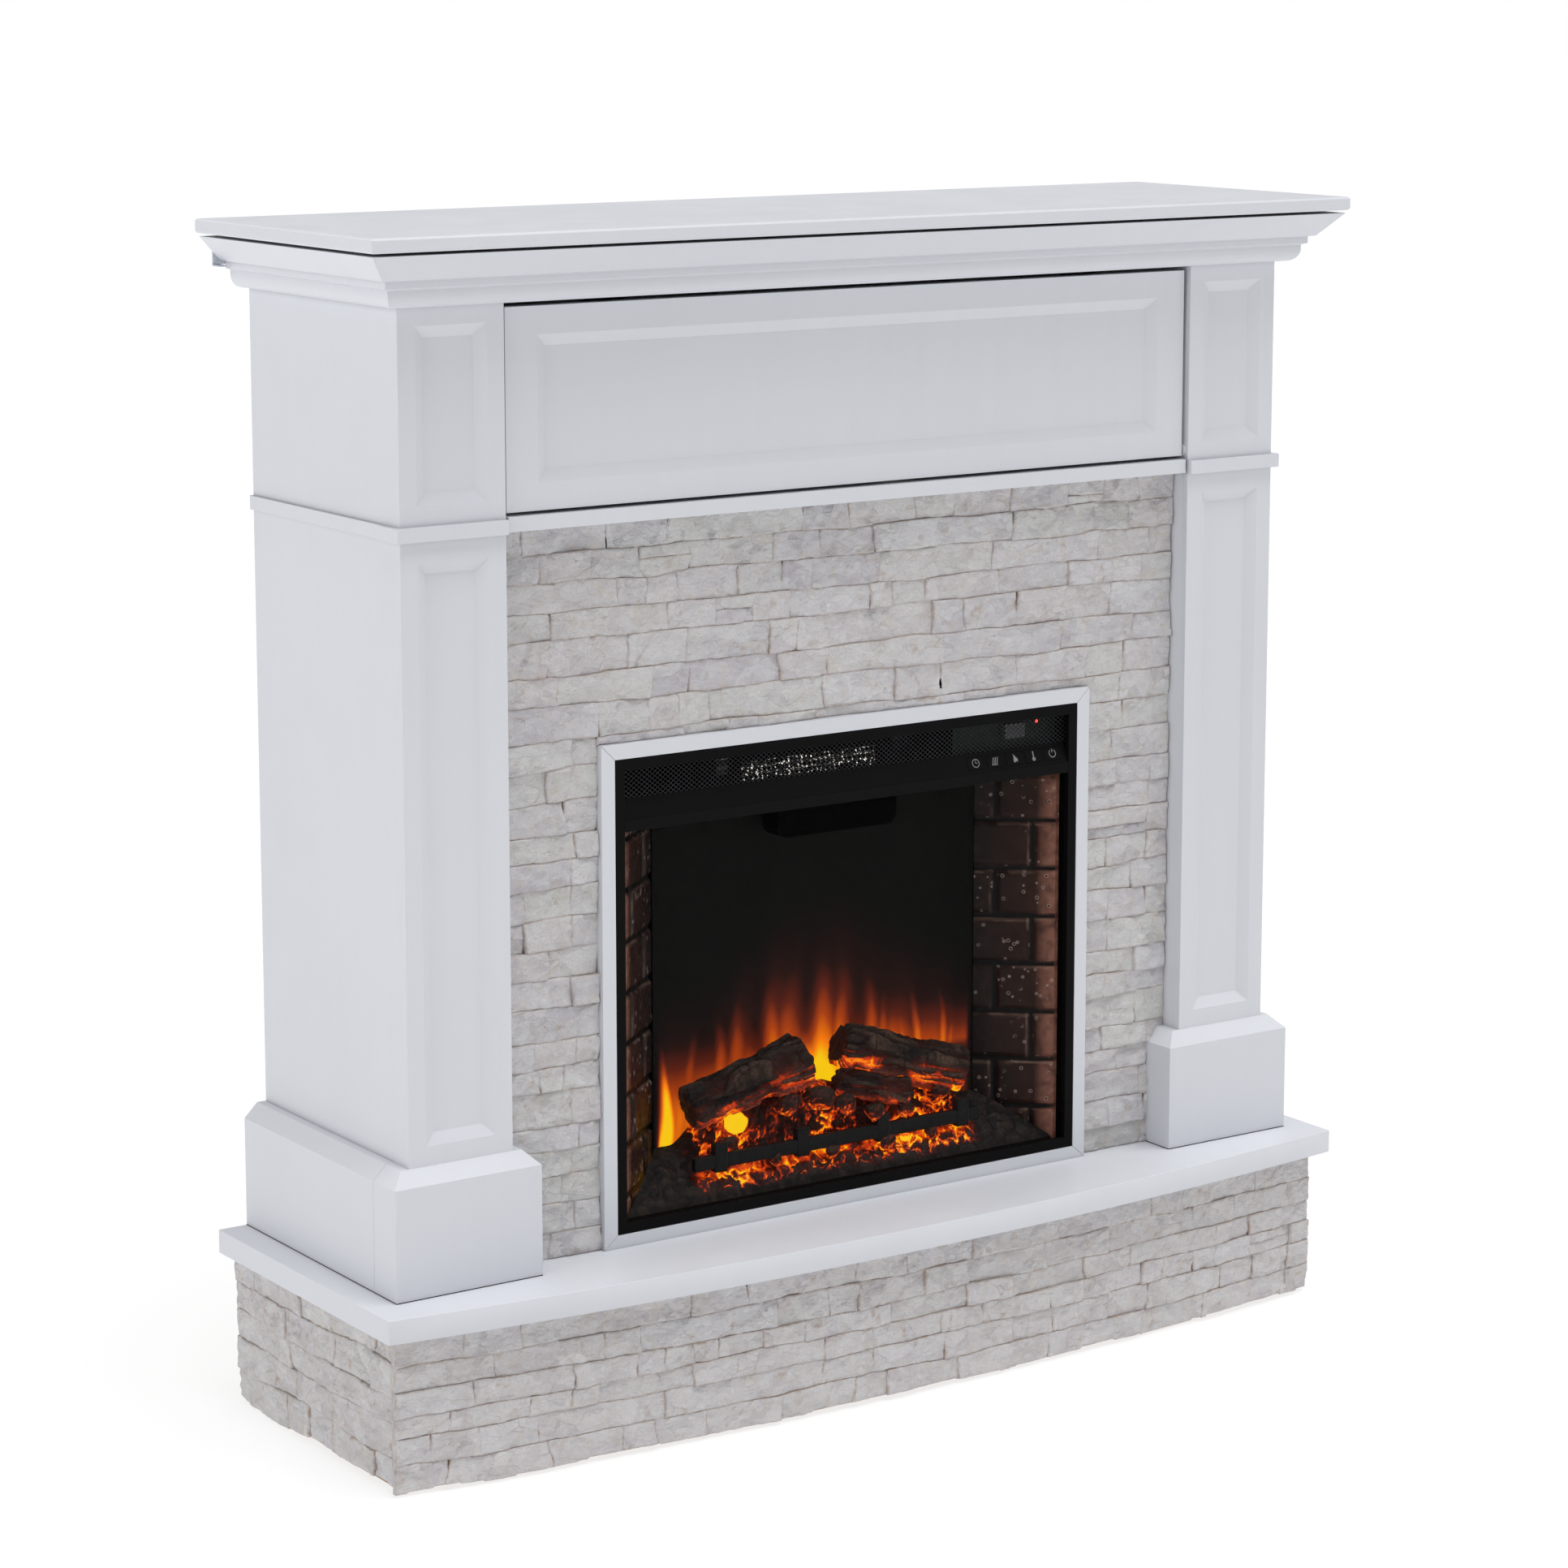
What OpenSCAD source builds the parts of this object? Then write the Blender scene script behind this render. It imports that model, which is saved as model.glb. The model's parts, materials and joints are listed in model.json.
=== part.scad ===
// Electric fireplace: a media mantel with a stone-faced hearth and a plug-in firebox.
// +X is to the right, +Y is to the back, +Z is up, and the floor is at Z = 0.

/* [Mantel and crown] */
// Height of the mantel's top above the floor
total_h = 1250; // [1200:1:1300]
// Width of the mantel's top
mantel_w = 1219.2; // [1216:0.1:1224]
// Thickness of the mantel's top
mantel_t = 14.6; // [12:0.1:15]
// Front edge of the mantel's top, ahead of the origin
mantel_front = 165.7; // [164:0.1:170]
// Back edge of the mantel's top, behind the origin
mantel_back = 205; // [204:1:210]
// Shadow gap between the crown moulding and the mantel's top
shadow_gap = 3; // [1:0.1:4]
// Height of the crown moulding
crown_h = 54.6; // [52:0.1:60]
// How far the crown moulding stands out
crown_out = 54.7; // [50:0.1:55]

/* [Case] */
// Width across the two pilasters
case_w = 1104.2; // [1100:0.1:1106]
// Front face of the pilasters, ahead of the origin
case_front = 107.5; // [106:0.1:108]
// Back of the case, behind the origin
case_back = 202; // [200:1:203]
// Width of each pilaster
pilaster_w = 119.2; // [118:0.1:120]
// Depth of each pilaster's returns
pilaster_d = 31.5; // [30:0.1:32]
// Thickness of the pilaster boards
board_t = 15; // [14:0.5:16]
// Thickness of the side panels and dividers
panel_t = 12; // [10:0.5:12]
// Width of the sloped edge round each recessed field
bevel_w = 12; // [10:0.5:13]
// Depth of each recessed field
bevel_d = 7; // [5:0.5:8]
// Height of the belt moulding
belt_h = 14.7; // [12:0.1:16]
// Underside of the belt moulding
belt_z = 950.3; // [948:0.1:952]

/* [Plinths] */
// Height of the plinths
plinth_h = 131.2; // [120:0.1:140]
// Width of each plinth
plinth_w = 168.8; // [166:0.1:170]
// Front face of the plinths, ahead of the origin
plinth_front = 122.7; // [122:0.1:124]
// Size of the chamfer on a plinth's top edge
plinth_chamfer = 15; // [10:0.5:15]

/* [Media compartment] */
// Thickness of the media shelf and of the door
shelf_t = 15; // [14:0.5:15]
// Top of the media shelf
shelf_z = 966.5; // [966:0.1:967]
// Width of the door
door_w = 857.4; // [850:0.1:859]
// Height of the door
door_h = 203; // [200:0.1:204]
// Bottom edge of the door
door_z = 970; // [969.8:0.1:970.5]
// How far the door's face is set back from the pilasters
door_inset = 5.9; // [5.5:0.1:6.5]
// Radius of the hinge pins
pin_r = 3; // [2.5:0.1:3]
// Radius of the cable outlets
outlet_r = 28; // [26:1:30]

/* [Hearth and base] */
// Thickness of the hearth slab
hearth_t = 25; // [20:1:28]
// Top of the hearth slab
hearth_z = 191.5; // [180:0.5:192]
// How far the hearth's front bows out
hearth_bow = 40.5; // [30:0.5:41]
// Width of the stone base
base_w = 1190.6; // [1180:0.1:1195]
// How far the stone base's front bows out
base_bow = 35.3; // [30:0.1:36]
// Front centre of the stone base, ahead of the origin
base_front = 186; // [184:0.5:188]
// Thickness of the stone veneer
veneer_t = 12; // [10:0.5:13]
// Height of the glides under the base
foot_h = 3; // [2:0.5:6]

/* [Firebox] */
// Outer width of the white surround
surround_w = 627.6; // [620:0.1:630]
// Top of the white surround
surround_z = 722; // [715:0.5:726]
// Width of each surround strip
surround_m = 15.5; // [14:0.1:16]
// Front face of the surround, ahead of the origin
surround_front = 89.6; // [88.5:0.1:90]
// Width of the black trim frame
trim_m = 11; // [9:0.5:12]
// Depth of the firebox housing
housing_d = 183; // [170:1:200]
// Thickness of the sheet metal
sheet_t = 1.2; // [1:0.1:1.5]
// Underside of the air grille
grille_z = 663; // [660:0.5:665]
// Top of the glass
glass_z = 630; // [628:0.5:632]
// Travel of each push button
button_travel = 1.2; // [1:0.1:1.5]
// Distance between the push buttons
button_pitch = 26; // [24:0.5:27]

/* [Hidden] */
$fn = 48;
arc_fn = 720;
eps = 1;
fit = 0.05;
play = 0.3;
half_case = case_w / 2;
col_in = half_case - pilaster_w;
side_x = half_case - 0.5;
inner_x = side_x - panel_t;
return_y = -case_front + pilaster_d;
mantel_z = total_h - mantel_t;
crown_top = mantel_z - shadow_gap;
crown_z = crown_top - crown_h;
frame_top = mantel_z - panel_t;
plinth_top = hearth_z + plinth_h;
plinth_out = (plinth_w - pilaster_w) / 2;
plinth_in = col_in - plinth_out;
plinth_seam_y = -plinth_front + 45;
board_y = -72;
board_back_y = board_y + panel_t;
shelf_low = shelf_z - shelf_t;
door_front_y = -case_front + door_inset;
door_top = door_z + door_h;
hinge_y = door_front_y + 5;
hinge_z = door_z + 6;
bush_wall = 2;
pin_grip = 20;
hearth_low = hearth_z - hearth_t;
surround_x = surround_w / 2;
opening_x = surround_x - surround_m - 0.9;
opening_low = hearth_z + surround_m - 1.5;
opening_top = surround_z - surround_m - 0.5;
trim_x = opening_x - 0.5;
trim_low = opening_low + 0.5;
trim_top = opening_top - 0.5;
trim_back_y = -surround_front + 6.4;
inner_low = trim_low + trim_m;
inner_top = trim_top - trim_m;
inner_w = 2 * (trim_x - trim_m);
housing_x = trim_x - 4;
housing_low = trim_low + 3;
housing_top = trim_top - 3;
housing_back_y = trim_back_y + housing_d;
fascia_top_y = -80;
fascia_step_y = -surround_front + 1;
fascia_lip_top = 641.5;
slope = atan2(fascia_top_y - fascia_step_y, grille_z - fascia_lip_top);
button_x0 = 163;
button_w = 22;
button_hgt = 14;
screen_y = -19;
screen_x = 209;
bed_front_y = -76;
bed_back_y = -21;
bed_low = inner_low + 0.5;
bed_high = 268;
floor_z = housing_low + sheet_t;
fire_top = glass_z - 1;
inlet_x = 240;
inlet_z = 320;
inlet_r = 9;
shaft_r = 3;
rotor_y = 25;
rotor_z = 270;
ear_x = 221;
fan_y = 45;
fan_z = 667;
fan_r = 22;
fan_x = 105;
fan_end = fan_x + 12;
pcb_y = -66;
pcb_t = 1.6;
back_t = 6;
back_in_y = case_back - back_t;
screw_spots = [-480:160:480];
screw_z = shelf_z - shelf_t / 2;
screw_r = 1.55;
outlets_x = [-250, 250];
outlet_z = 1012;
catch_x = 300;
catch_w = 40;
catch_h = 12;
catch_front_y = -84;
bracket_x = 560;
bracket_z = 1203;
face_courses = 25;
base_courses = 5;
base_course_h = (hearth_low - foot_h) / base_courses;
base_corner_y = base_bow - base_front + veneer_t + 2;
foot_spots = [for (x = [-545, 0, 545], y = [-85, 160]) [x, y]];
foot_r = 14;
stud_r = 3;

// ---- Helpers ----

// A box between two corners.
module span(low, high) {
    translate(low) cube(high - low);
}

// The same shape on both sides of the middle.
module both_sides() {
    children();
    mirror([1, 0, 0]) children();
}

// An outline in the YZ plane, given as [y, z], carried along X.
module along_x(x0, x1) {
    translate([x0, 0, 0]) rotate([90, 0, 90]) linear_extrude(x1 - x0) children();
}

// An outline in the XZ plane, given as [x, z], carried along Y.
module along_y(y0, y1) {
    translate([0, y1, 0]) rotate([90, 0, 0]) linear_extrude(y1 - y0) children();
}

// An outline in the XY plane carried along Z.
module along_z(z0, z1) {
    translate([0, 0, z0]) linear_extrude(z1 - z0) children();
}

// A round bar along X.
module bar_x(x0, x1, y, z, r) {
    translate([x0, y, z]) rotate([0, 90, 0]) cylinder(h = x1 - x0, r = r);
}

// A round bar along Y.
module bar_y(y0, y1, x, z, r) {
    translate([x, y1, z]) rotate([90, 0, 0]) cylinder(h = y1 - y0, r = r);
}

// A round bar between any two points.
module bar_between(p, q, r) {
    v = q - p;
    reach = norm(v);
    tilt = acos(v[2] / reach);
    turn = atan2(v[1], v[0]);
    translate(p) rotate([0, tilt, turn]) cylinder(h = reach, r = r);
}

// What is cut from a board's front face to leave a recessed field with sloped edges.
module panel_recess(x0, x1, z0, z1, face_y) {
    over = eps;
    back_y = face_y + bevel_d;
    k = bevel_w / bevel_d;
    intersection() {
        along_z(z0 - over, z1 + over)
            polygon([
                [x0 - k * over, face_y - over], [x1 + k * over, face_y - over],
                [x1 - bevel_w, back_y], [x0 + bevel_w, back_y]
            ]);
        along_x(x0 - 2 * over, x1 + 2 * over)
            polygon([
                [face_y - over, z0 - k * over], [face_y - over, z1 + k * over],
                [back_y, z1 - bevel_w], [back_y, z0 + bevel_w]
            ]);
    }
}

// The disc whose edge is a front that bows out by bow over a chord w, with its top at y = -front.
module bow_disc(w, bow, front, inset) {
    r = (pow(w / 2, 2) + pow(bow, 2)) / (2 * bow);
    translate([0, r - front]) circle(r = r - inset, $fn = arc_fn);
}

// How far each course of stone stands out, in steps from 1 to most_relief.
most_relief = 3;
function course_relief(i) = 1 + (2 * i) % most_relief;

// Height of the ember bed's sloped top at a depth y.
function bed_z(y) = bed_low + (y - bed_front_y) * (bed_high - bed_low) / (bed_back_y - bed_front_y);

// ---- Mantel and crown ----

module mantel_top() {
    ease = 2;
    color("white")
        intersection() {
            along_x(-mantel_w / 2, mantel_w / 2)
                polygon([
                    [-mantel_front + ease, mantel_z], [-mantel_front, mantel_z + ease],
                    [-mantel_front, total_h - ease], [-mantel_front + ease, total_h],
                    [mantel_back, total_h], [mantel_back, mantel_z]
                ]);
            along_y(-mantel_front - eps, mantel_back + eps)
                polygon([
                    [-mantel_w / 2 + ease, mantel_z], [-mantel_w / 2, mantel_z + ease],
                    [-mantel_w / 2, total_h - ease], [-mantel_w / 2 + ease, total_h],
                    [mantel_w / 2 - ease, total_h], [mantel_w / 2, total_h - ease],
                    [mantel_w / 2, mantel_z + ease], [mantel_w / 2 - ease, mantel_z]
                ]);
        }
}

module case_top() {
    color("white") span([-half_case, -case_front, frame_top], [half_case, case_back, mantel_z]);
}

// Points of the crown's outline: how far out, and how high.
function crown_profile() = concat(
    [[0, crown_z], [8.6, crown_z + 1]],
    [for (a = [15:15:75]) [8.6 + 11.8 * sin(a), crown_z + 14.5 - 13.5 * cos(a)]],
    [
        [20.4, crown_z + 14.5], [20.4, crown_z + 19.2], [25.6, crown_z + 21],
        [25.6, crown_z + 28.2], [32, crown_z + 29.3], [crown_out, crown_top], [0, crown_top]
    ]
);

module crown_front() {
    color("white")
        intersection() {
            along_x(-half_case - crown_out, half_case + crown_out)
                polygon([for (p = crown_profile()) [-case_front - p[0], p[1]]]);
            along_z(crown_z - eps, crown_top + eps)
                polygon([
                    [-half_case, -case_front], [half_case, -case_front],
                    [half_case + crown_out, -case_front - crown_out],
                    [-half_case - crown_out, -case_front - crown_out]
                ]);
        }
}

module crown_return() {
    color("white")
        intersection() {
            along_y(-case_front - crown_out, case_back)
                polygon([for (p = crown_profile()) [-half_case - p[0], p[1]]]);
            along_z(crown_z - eps, crown_top + eps)
                polygon([
                    [-half_case, -case_front], [-half_case - crown_out, -case_front - crown_out],
                    [-half_case - crown_out, case_back], [-half_case, case_back]
                ]);
        }
}

module crown_left() {
    crown_return();
}

module crown_right() {
    mirror([1, 0, 0]) crown_return();
}

module crown_rail() {
    color("white") span([-col_in, -case_front, crown_z], [col_in, board_y, frame_top]);
}

// ---- Case ----

module side_panel() {
    color("white") span([-side_x, return_y, hearth_z], [-inner_x, case_back, frame_top]);
}

module side_panel_left() {
    side_panel();
}

module side_panel_right() {
    mirror([1, 0, 0]) side_panel();
}

// A channel-shaped column front with two recessed fields and a seat for the door's bush.
module pilaster() {
    margin = 19.5;
    above_belt = 34.4;
    below_belt = 21.5;
    below_crown = 18;
    above_plinth = 20;
    field_x0 = -half_case + margin;
    field_x1 = -col_in - margin;
    color("white")
        difference() {
            span([-half_case, -case_front, hearth_z], [-col_in, return_y, frame_top]);
            span(
                [-half_case + board_t, -case_front + board_t, hearth_z - eps],
                [-col_in - board_t, return_y + eps, frame_top + eps]
            );
            panel_recess(field_x0, field_x1, belt_z + above_belt, crown_z - below_crown, -case_front);
            panel_recess(
                field_x0, field_x1, plinth_top + above_plinth, belt_z - below_belt, -case_front
            );
            bar_x(-col_in - board_t - eps, -col_in + eps, hinge_y, hinge_z, pin_r + bush_wall + fit);
        }
}

module pilaster_left() {
    pilaster();
}

module pilaster_right() {
    mirror([1, 0, 0]) pilaster();
}

module belt_mouldings() {
    proud = 6.4;
    side_proud = 3.7;
    color("white")
        both_sides()
            along_z(belt_z, belt_z + belt_h)
                polygon([
                    [-col_in, -case_front], [-col_in, -case_front - proud],
                    [-half_case - proud, -case_front - proud], [-half_case - proud, return_y],
                    [-half_case - side_proud, return_y], [-half_case - side_proud, case_back],
                    [-half_case, case_back], [-half_case, -case_front]
                ]);
}

// The plinth's outer shape before the column is cut from it.
module plinth_block(x0, x1, y0, y1) {
    c = plinth_chamfer;
    intersection() {
        along_y(y0, y1)
            polygon([
                [x0, hearth_z], [x1, hearth_z], [x1, plinth_top - c],
                [x1 - c, plinth_top], [x0 + c, plinth_top], [x0, plinth_top - c]
            ]);
        along_x(x0 - eps, x1 + eps)
            polygon([
                [y0, hearth_z], [y1, hearth_z], [y1, plinth_top],
                [y0 + c, plinth_top], [y0, plinth_top - c]
            ]);
    }
}

// A front block that wraps the column, and a skirting that runs to the back.
module plinth() {
    x0 = -half_case - plinth_out;
    x1 = -plinth_in;
    c = plinth_chamfer;
    color("white") {
        difference() {
            plinth_block(x0, x1, -plinth_front, board_y);
            span([-half_case, -case_front, hearth_z - eps], [-col_in, board_y + eps, plinth_top + eps]);
            span([x0 - eps, plinth_seam_y, hearth_z - eps], [-half_case, board_y + eps, plinth_top + eps]);
        }
        along_y(plinth_seam_y + play, case_back)
            polygon([
                [x0, hearth_z], [-half_case, hearth_z], [-half_case, plinth_top],
                [x0 + c, plinth_top], [x0, plinth_top - c]
            ]);
    }
}

module plinth_left() {
    plinth();
}

module plinth_right() {
    mirror([1, 0, 0]) plinth();
}

module media_shelf() {
    strip_x = col_in - 3;
    color("white")
        difference() {
            union() {
                span([-strip_x, -case_front, shelf_low], [strip_x, back_in_y, shelf_z]);
                span([-inner_x, board_y - 2, shelf_low], [inner_x, back_in_y, shelf_z]);
            }
            for (x = screw_spots)
                bar_y(case_back - 20, case_back, x, screw_z, screw_r + fit);
        }
}

module dividers() {
    color("white")
        both_sides()
            span([-col_in - panel_t, board_y - 2, shelf_z], [-col_in, back_in_y, frame_top]);
}

module back_panel() {
    color("white")
        difference() {
            span([-inner_x, back_in_y, shelf_low], [inner_x, case_back, frame_top]);
            for (x = outlets_x)
                bar_y(back_in_y - eps, case_back + eps, x, outlet_z, outlet_r);
            for (x = screw_spots)
                bar_y(back_in_y - eps, case_back + eps, x, screw_z, screw_r + play);
        }
}

module cable_grommets() {
    wall = 3;
    flange_w = 5;
    flange_t = 2;
    color("white")
        for (x = outlets_x)
            difference() {
                union() {
                    bar_y(back_in_y - flange_t, case_back, x, outlet_z, outlet_r - fit);
                    bar_y(back_in_y - flange_t, back_in_y, x, outlet_z, outlet_r + flange_w);
                }
                bar_y(back_in_y - flange_t - eps, case_back + eps, x, outlet_z, outlet_r - wall);
            }
}

module back_screws() {
    head_r = 3.5;
    head_t = 1.8;
    color("silver")
        for (x = screw_spots) {
            bar_y(case_back - 18, case_back, x, screw_z, screw_r);
            bar_y(case_back, case_back + head_t, x, screw_z, head_r);
        }
}

// Two cross rails at the back and a batten that carries the firebox.
module rear_rails() {
    rear_y = case_back - 3;
    front_y = rear_y - board_t;
    low_h = 80;
    high_h = 70;
    batten_x = 280;
    batten_y = 60;
    batten_w = 30;
    color("tan") {
        span([-inner_x, front_y, hearth_z], [inner_x, rear_y, hearth_z + low_h]);
        span([-inner_x, front_y, shelf_low - high_h], [inner_x, rear_y, shelf_low]);
        span([-batten_x, batten_y, hearth_z], [batten_x, batten_y + batten_w, housing_low]);
    }
}

// ---- Stone face and surround ----

module face_board() {
    color("tan")
        difference() {
            span([-inner_x, board_y, hearth_z], [inner_x, board_back_y, shelf_low]);
            span(
                [-housing_x - fit, board_y - eps, housing_low],
                [housing_x + fit, board_back_y + eps, housing_top + play]
            );
        }
}

module stone_face() {
    thinnest = 9.5;
    course_h = (shelf_low - hearth_z) / face_courses;
    color("linen")
        difference() {
            for (i = [0:face_courses - 1])
                span(
                    [-col_in, board_y - thinnest - course_relief(i), hearth_z + i * course_h],
                    [col_in, board_y, hearth_z + (i + 1) * course_h]
                );
            span([-surround_x, -case_front, hearth_z - eps], [surround_x, board_y + eps, surround_z]);
            both_sides()
                span([-case_w, -case_front, hearth_z - eps], [-plinth_in, board_y + eps, plinth_top]);
        }
}

// Four mitred strips round the firebox, each one a separate piece.
module surround_frame() {
    m = play / 2;
    x0 = surround_x;
    x1 = opening_x;
    color("white")
        along_y(-surround_front, board_y) {
            both_sides()
                polygon([
                    [-x0, hearth_z + m], [-x0, surround_z - m],
                    [-x1, opening_top - m], [-x1, opening_low + m]
                ]);
            polygon([
                [-x0 + m, surround_z], [x0 - m, surround_z],
                [x1 - m, opening_top], [-x1 + m, opening_top]
            ]);
            polygon([
                [-x0 + m, hearth_z], [x0 - m, hearth_z],
                [x1 - m, opening_low], [-x1 + m, opening_low]
            ]);
        }
}

// ---- Hearth and base ----

module hearth_slab() {
    w = mantel_w - 0.4;
    front = mantel_back;
    color("white")
        along_z(hearth_low, hearth_z)
            intersection() {
                translate([-w / 2, -front - eps]) square([w, front + eps + case_back + 1]);
                bow_disc(w, hearth_bow, front, 0);
            }
}

// A curved strip of the base's front between two depths behind its face.
module base_arc(depth0, depth1) {
    difference() {
        intersection() {
            translate([-base_w / 2, -base_front - eps]) square([base_w, base_bow + depth1 + eps]);
            bow_disc(base_w, base_bow, base_front, depth0);
        }
        bow_disc(base_w, base_bow, base_front, depth1);
    }
}

module base_stone_front() {
    color("linen")
        for (i = [0:base_courses - 1])
            along_z(foot_h + i * base_course_h, foot_h + (i + 1) * base_course_h)
                base_arc(most_relief - course_relief(i), veneer_t);
}

module base_stone_sides() {
    color("linen")
        both_sides()
            for (i = [0:base_courses - 1])
                span(
                    [
                        -base_w / 2 + most_relief - course_relief(i + 2),
                        base_corner_y,
                        foot_h + i * base_course_h
                    ],
                    [-base_w / 2 + veneer_t, case_back - 2, foot_h + (i + 1) * base_course_h]
                );
}

// The hidden carcass: a curved front, straight sides and back, two ribs and the glides' blocks.
module base_frame() {
    x = base_w / 2 - veneer_t;
    back = case_back - 2;
    t = board_t;
    block_w = 60;
    block_h = 40;
    ribs_x = [-200, 200];
    color("tan")
        difference() {
            union() {
                along_z(foot_h, hearth_low)
                    intersection() {
                        base_arc(veneer_t, veneer_t + t);
                        translate([-x, -base_front]) square([2 * x, base_front]);
                    }
                both_sides()
                    span([-x, base_corner_y, foot_h], [-x + t, back, hearth_low]);
                span([-x, back - t, foot_h], [x, back, hearth_low]);
                for (rib = ribs_x)
                    span([rib - t / 2, base_corner_y - 20, foot_h], [rib + t / 2, back, hearth_low]);
                for (s = foot_spots)
                    translate([s[0] - block_w / 2, s[1] - block_w / 2, foot_h])
                        cube([block_w, block_w, block_h]);
            }
            for (s = foot_spots)
                translate([s[0], s[1], foot_h - eps]) cylinder(h = 17, r = stud_r + fit);
        }
}

module base_feet() {
    color("dimgray")
        for (s = foot_spots)
            translate([s[0], s[1], 0]) {
                cylinder(h = foot_h, r = foot_r);
                cylinder(h = foot_h + 15, r = stud_r);
            }
}

// ---- Hardware of the case ----

// Angle plates behind the crown's ends, each with a hole for a screw into the wall.
module anti_tip_brackets() {
    t = 1.6;
    plate_w = 32;
    plate_h = 24;
    tab_w = 9;
    tab_d = 14;
    hole_r = 2.5;
    x0 = -bracket_x - plate_w;
    color("lightsteelblue")
        both_sides()
            difference() {
                union() {
                    span([x0, case_back, bracket_z], [-bracket_x, case_back + t, bracket_z + plate_h]);
                    span([x0, case_back - tab_d, bracket_z - t], [x0 + tab_w, case_back + t, bracket_z]);
                }
                bar_y(case_back - eps, case_back + t + eps, x0 + plate_w / 2, bracket_z + 13, hole_r);
            }
}

module magnetic_catches() {
    slot_x = 14;
    slot_h = 2;
    color("dimgray")
        both_sides()
            difference() {
                span(
                    [-catch_x - catch_w / 2, catch_front_y, crown_z - catch_h],
                    [-catch_x + catch_w / 2, board_y, crown_z]
                );
                span(
                    [-catch_x - slot_x, catch_front_y - eps, crown_z - catch_h / 2 - slot_h / 2],
                    [-catch_x + slot_x, catch_front_y + 1, crown_z - catch_h / 2 + slot_h / 2]
                );
            }
}

module hinge_bushes() {
    color("ivory")
        both_sides()
            difference() {
                union() {
                    bar_x(-col_in - board_t, -col_in, hinge_y, hinge_z, pin_r + bush_wall);
                    bar_x(-col_in, -col_in + 1.8, hinge_y, hinge_z, pin_r + bush_wall + 1.4);
                }
                bar_x(-col_in - board_t - eps, -col_in + 2, hinge_y, hinge_z, pin_r + fit);
            }
}

// ---- Firebox ----

// A sheet-metal box that is open at the front, with a floor over the heater's space.
module insert_housing() {
    t = sheet_t;
    divide_z = glass_z + 1.5;
    divide_y = -74;
    vent_w = 8;
    vent_low = 645;
    vent_high = 690;
    color("dimgray")
        difference() {
            union() {
                span(
                    [-housing_x, trim_back_y, housing_low],
                    [housing_x, housing_back_y, housing_low + t]
                );
                span(
                    [-housing_x, trim_back_y, housing_top - t],
                    [housing_x, housing_back_y, housing_top]
                );
                both_sides()
                    span(
                        [-housing_x, trim_back_y, housing_low],
                        [-housing_x + t, housing_back_y, housing_top]
                    );
                span(
                    [-housing_x, housing_back_y - t, housing_low],
                    [housing_x, housing_back_y, housing_top]
                );
                span([-housing_x, divide_y, divide_z], [housing_x, housing_back_y, divide_z + t]);
            }
            for (x = [-220:20:220])
                span(
                    [x - vent_w / 2, housing_back_y - 3, vent_low],
                    [x + vent_w / 2, housing_back_y + eps, vent_high]
                );
            bar_y(housing_back_y - 3, housing_back_y + eps, inlet_x, inlet_z, inlet_r);
        }
}

module insert_trim() {
    color("black")
        difference() {
            span([-trim_x, -surround_front, trim_low], [trim_x, trim_back_y, trim_top]);
            span(
                [-inner_w / 2, -surround_front - eps, inner_low],
                [inner_w / 2, trim_back_y + eps, inner_top]
            );
        }
}

module grille_mesh() {
    bar = 3;
    pitch = 6;
    color("black")
        difference() {
            span(
                [-housing_x + 2, fascia_top_y - 0.6, grille_z + 0.1],
                [housing_x - 2, fascia_top_y + 0.6, housing_top - 2]
            );
            for (x = [-276:pitch:276])
                span(
                    [x - bar / 2, fascia_top_y - 2, grille_z + 4],
                    [x + bar / 2, fascia_top_y + 2, inner_top - 3]
                );
        }
}

// The middle of push button i, on the fascia's slope.
function button_place(i) = [
    button_x0 + i * button_pitch,
    (fascia_top_y + fascia_step_y) / 2,
    (grille_z + fascia_lip_top) / 2
];

// Places something flat on the fascia's slope, with its own -Y facing out of it.
module on_slope(i) {
    translate(button_place(i)) rotate([-slope, 0, 0]) children();
}

module control_fascia() {
    color("black")
        difference() {
            along_x(-inner_w / 2 + 0.1, inner_w / 2 - 0.1)
                polygon([
                    [fascia_top_y, grille_z], [fascia_step_y, fascia_lip_top],
                    [-surround_front, fascia_lip_top], [-surround_front, glass_z],
                    [-surround_front + 4, glass_z], [-surround_front + 4, fascia_lip_top - 4],
                    [fascia_top_y + 4, grille_z - 4], [fascia_top_y + 4, grille_z]
                ]);
            for (i = [0:4])
                on_slope(i)
                    span(
                        [-button_w / 2 - play, -10, -button_hgt / 2 - play],
                        [button_w / 2 + play, 10, button_hgt / 2 + play]
                    );
        }
}

// A clear read-out and a round lamp, both seen through the grille.
module display_window() {
    window_y = -73;
    window_x = 211;
    window_z = 672;
    lamp_x = 249;
    lamp_z = 689;
    color("slategray") {
        span([window_x, window_y, window_z], [window_x + 27, pcb_y, window_z + 16]);
        bar_y(fascia_top_y + 1, pcb_y, lamp_x, lamp_z, 2);
    }
}

module control_board() {
    color("darkgreen") span([146, pcb_y, 636], [284, pcb_y + pcb_t, 698]);
}

// Coiled wire on a mica frame.
module heater_element() {
    x = 92;
    end_w = 8;
    y0 = -10;
    y1 = 2;
    low = 642;
    high = 674;
    rim = 5;
    color("silver") {
        difference() {
            span([-x - end_w, y0, low], [x + end_w, y1, high]);
            span([-x, y0 - eps, low + rim], [x, y1 + eps, high - rim]);
        }
        for (z = [651:7:665])
            bar_x(-x - 2, x + 2, (y0 + y1) / 2, z, 2);
    }
}

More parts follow.
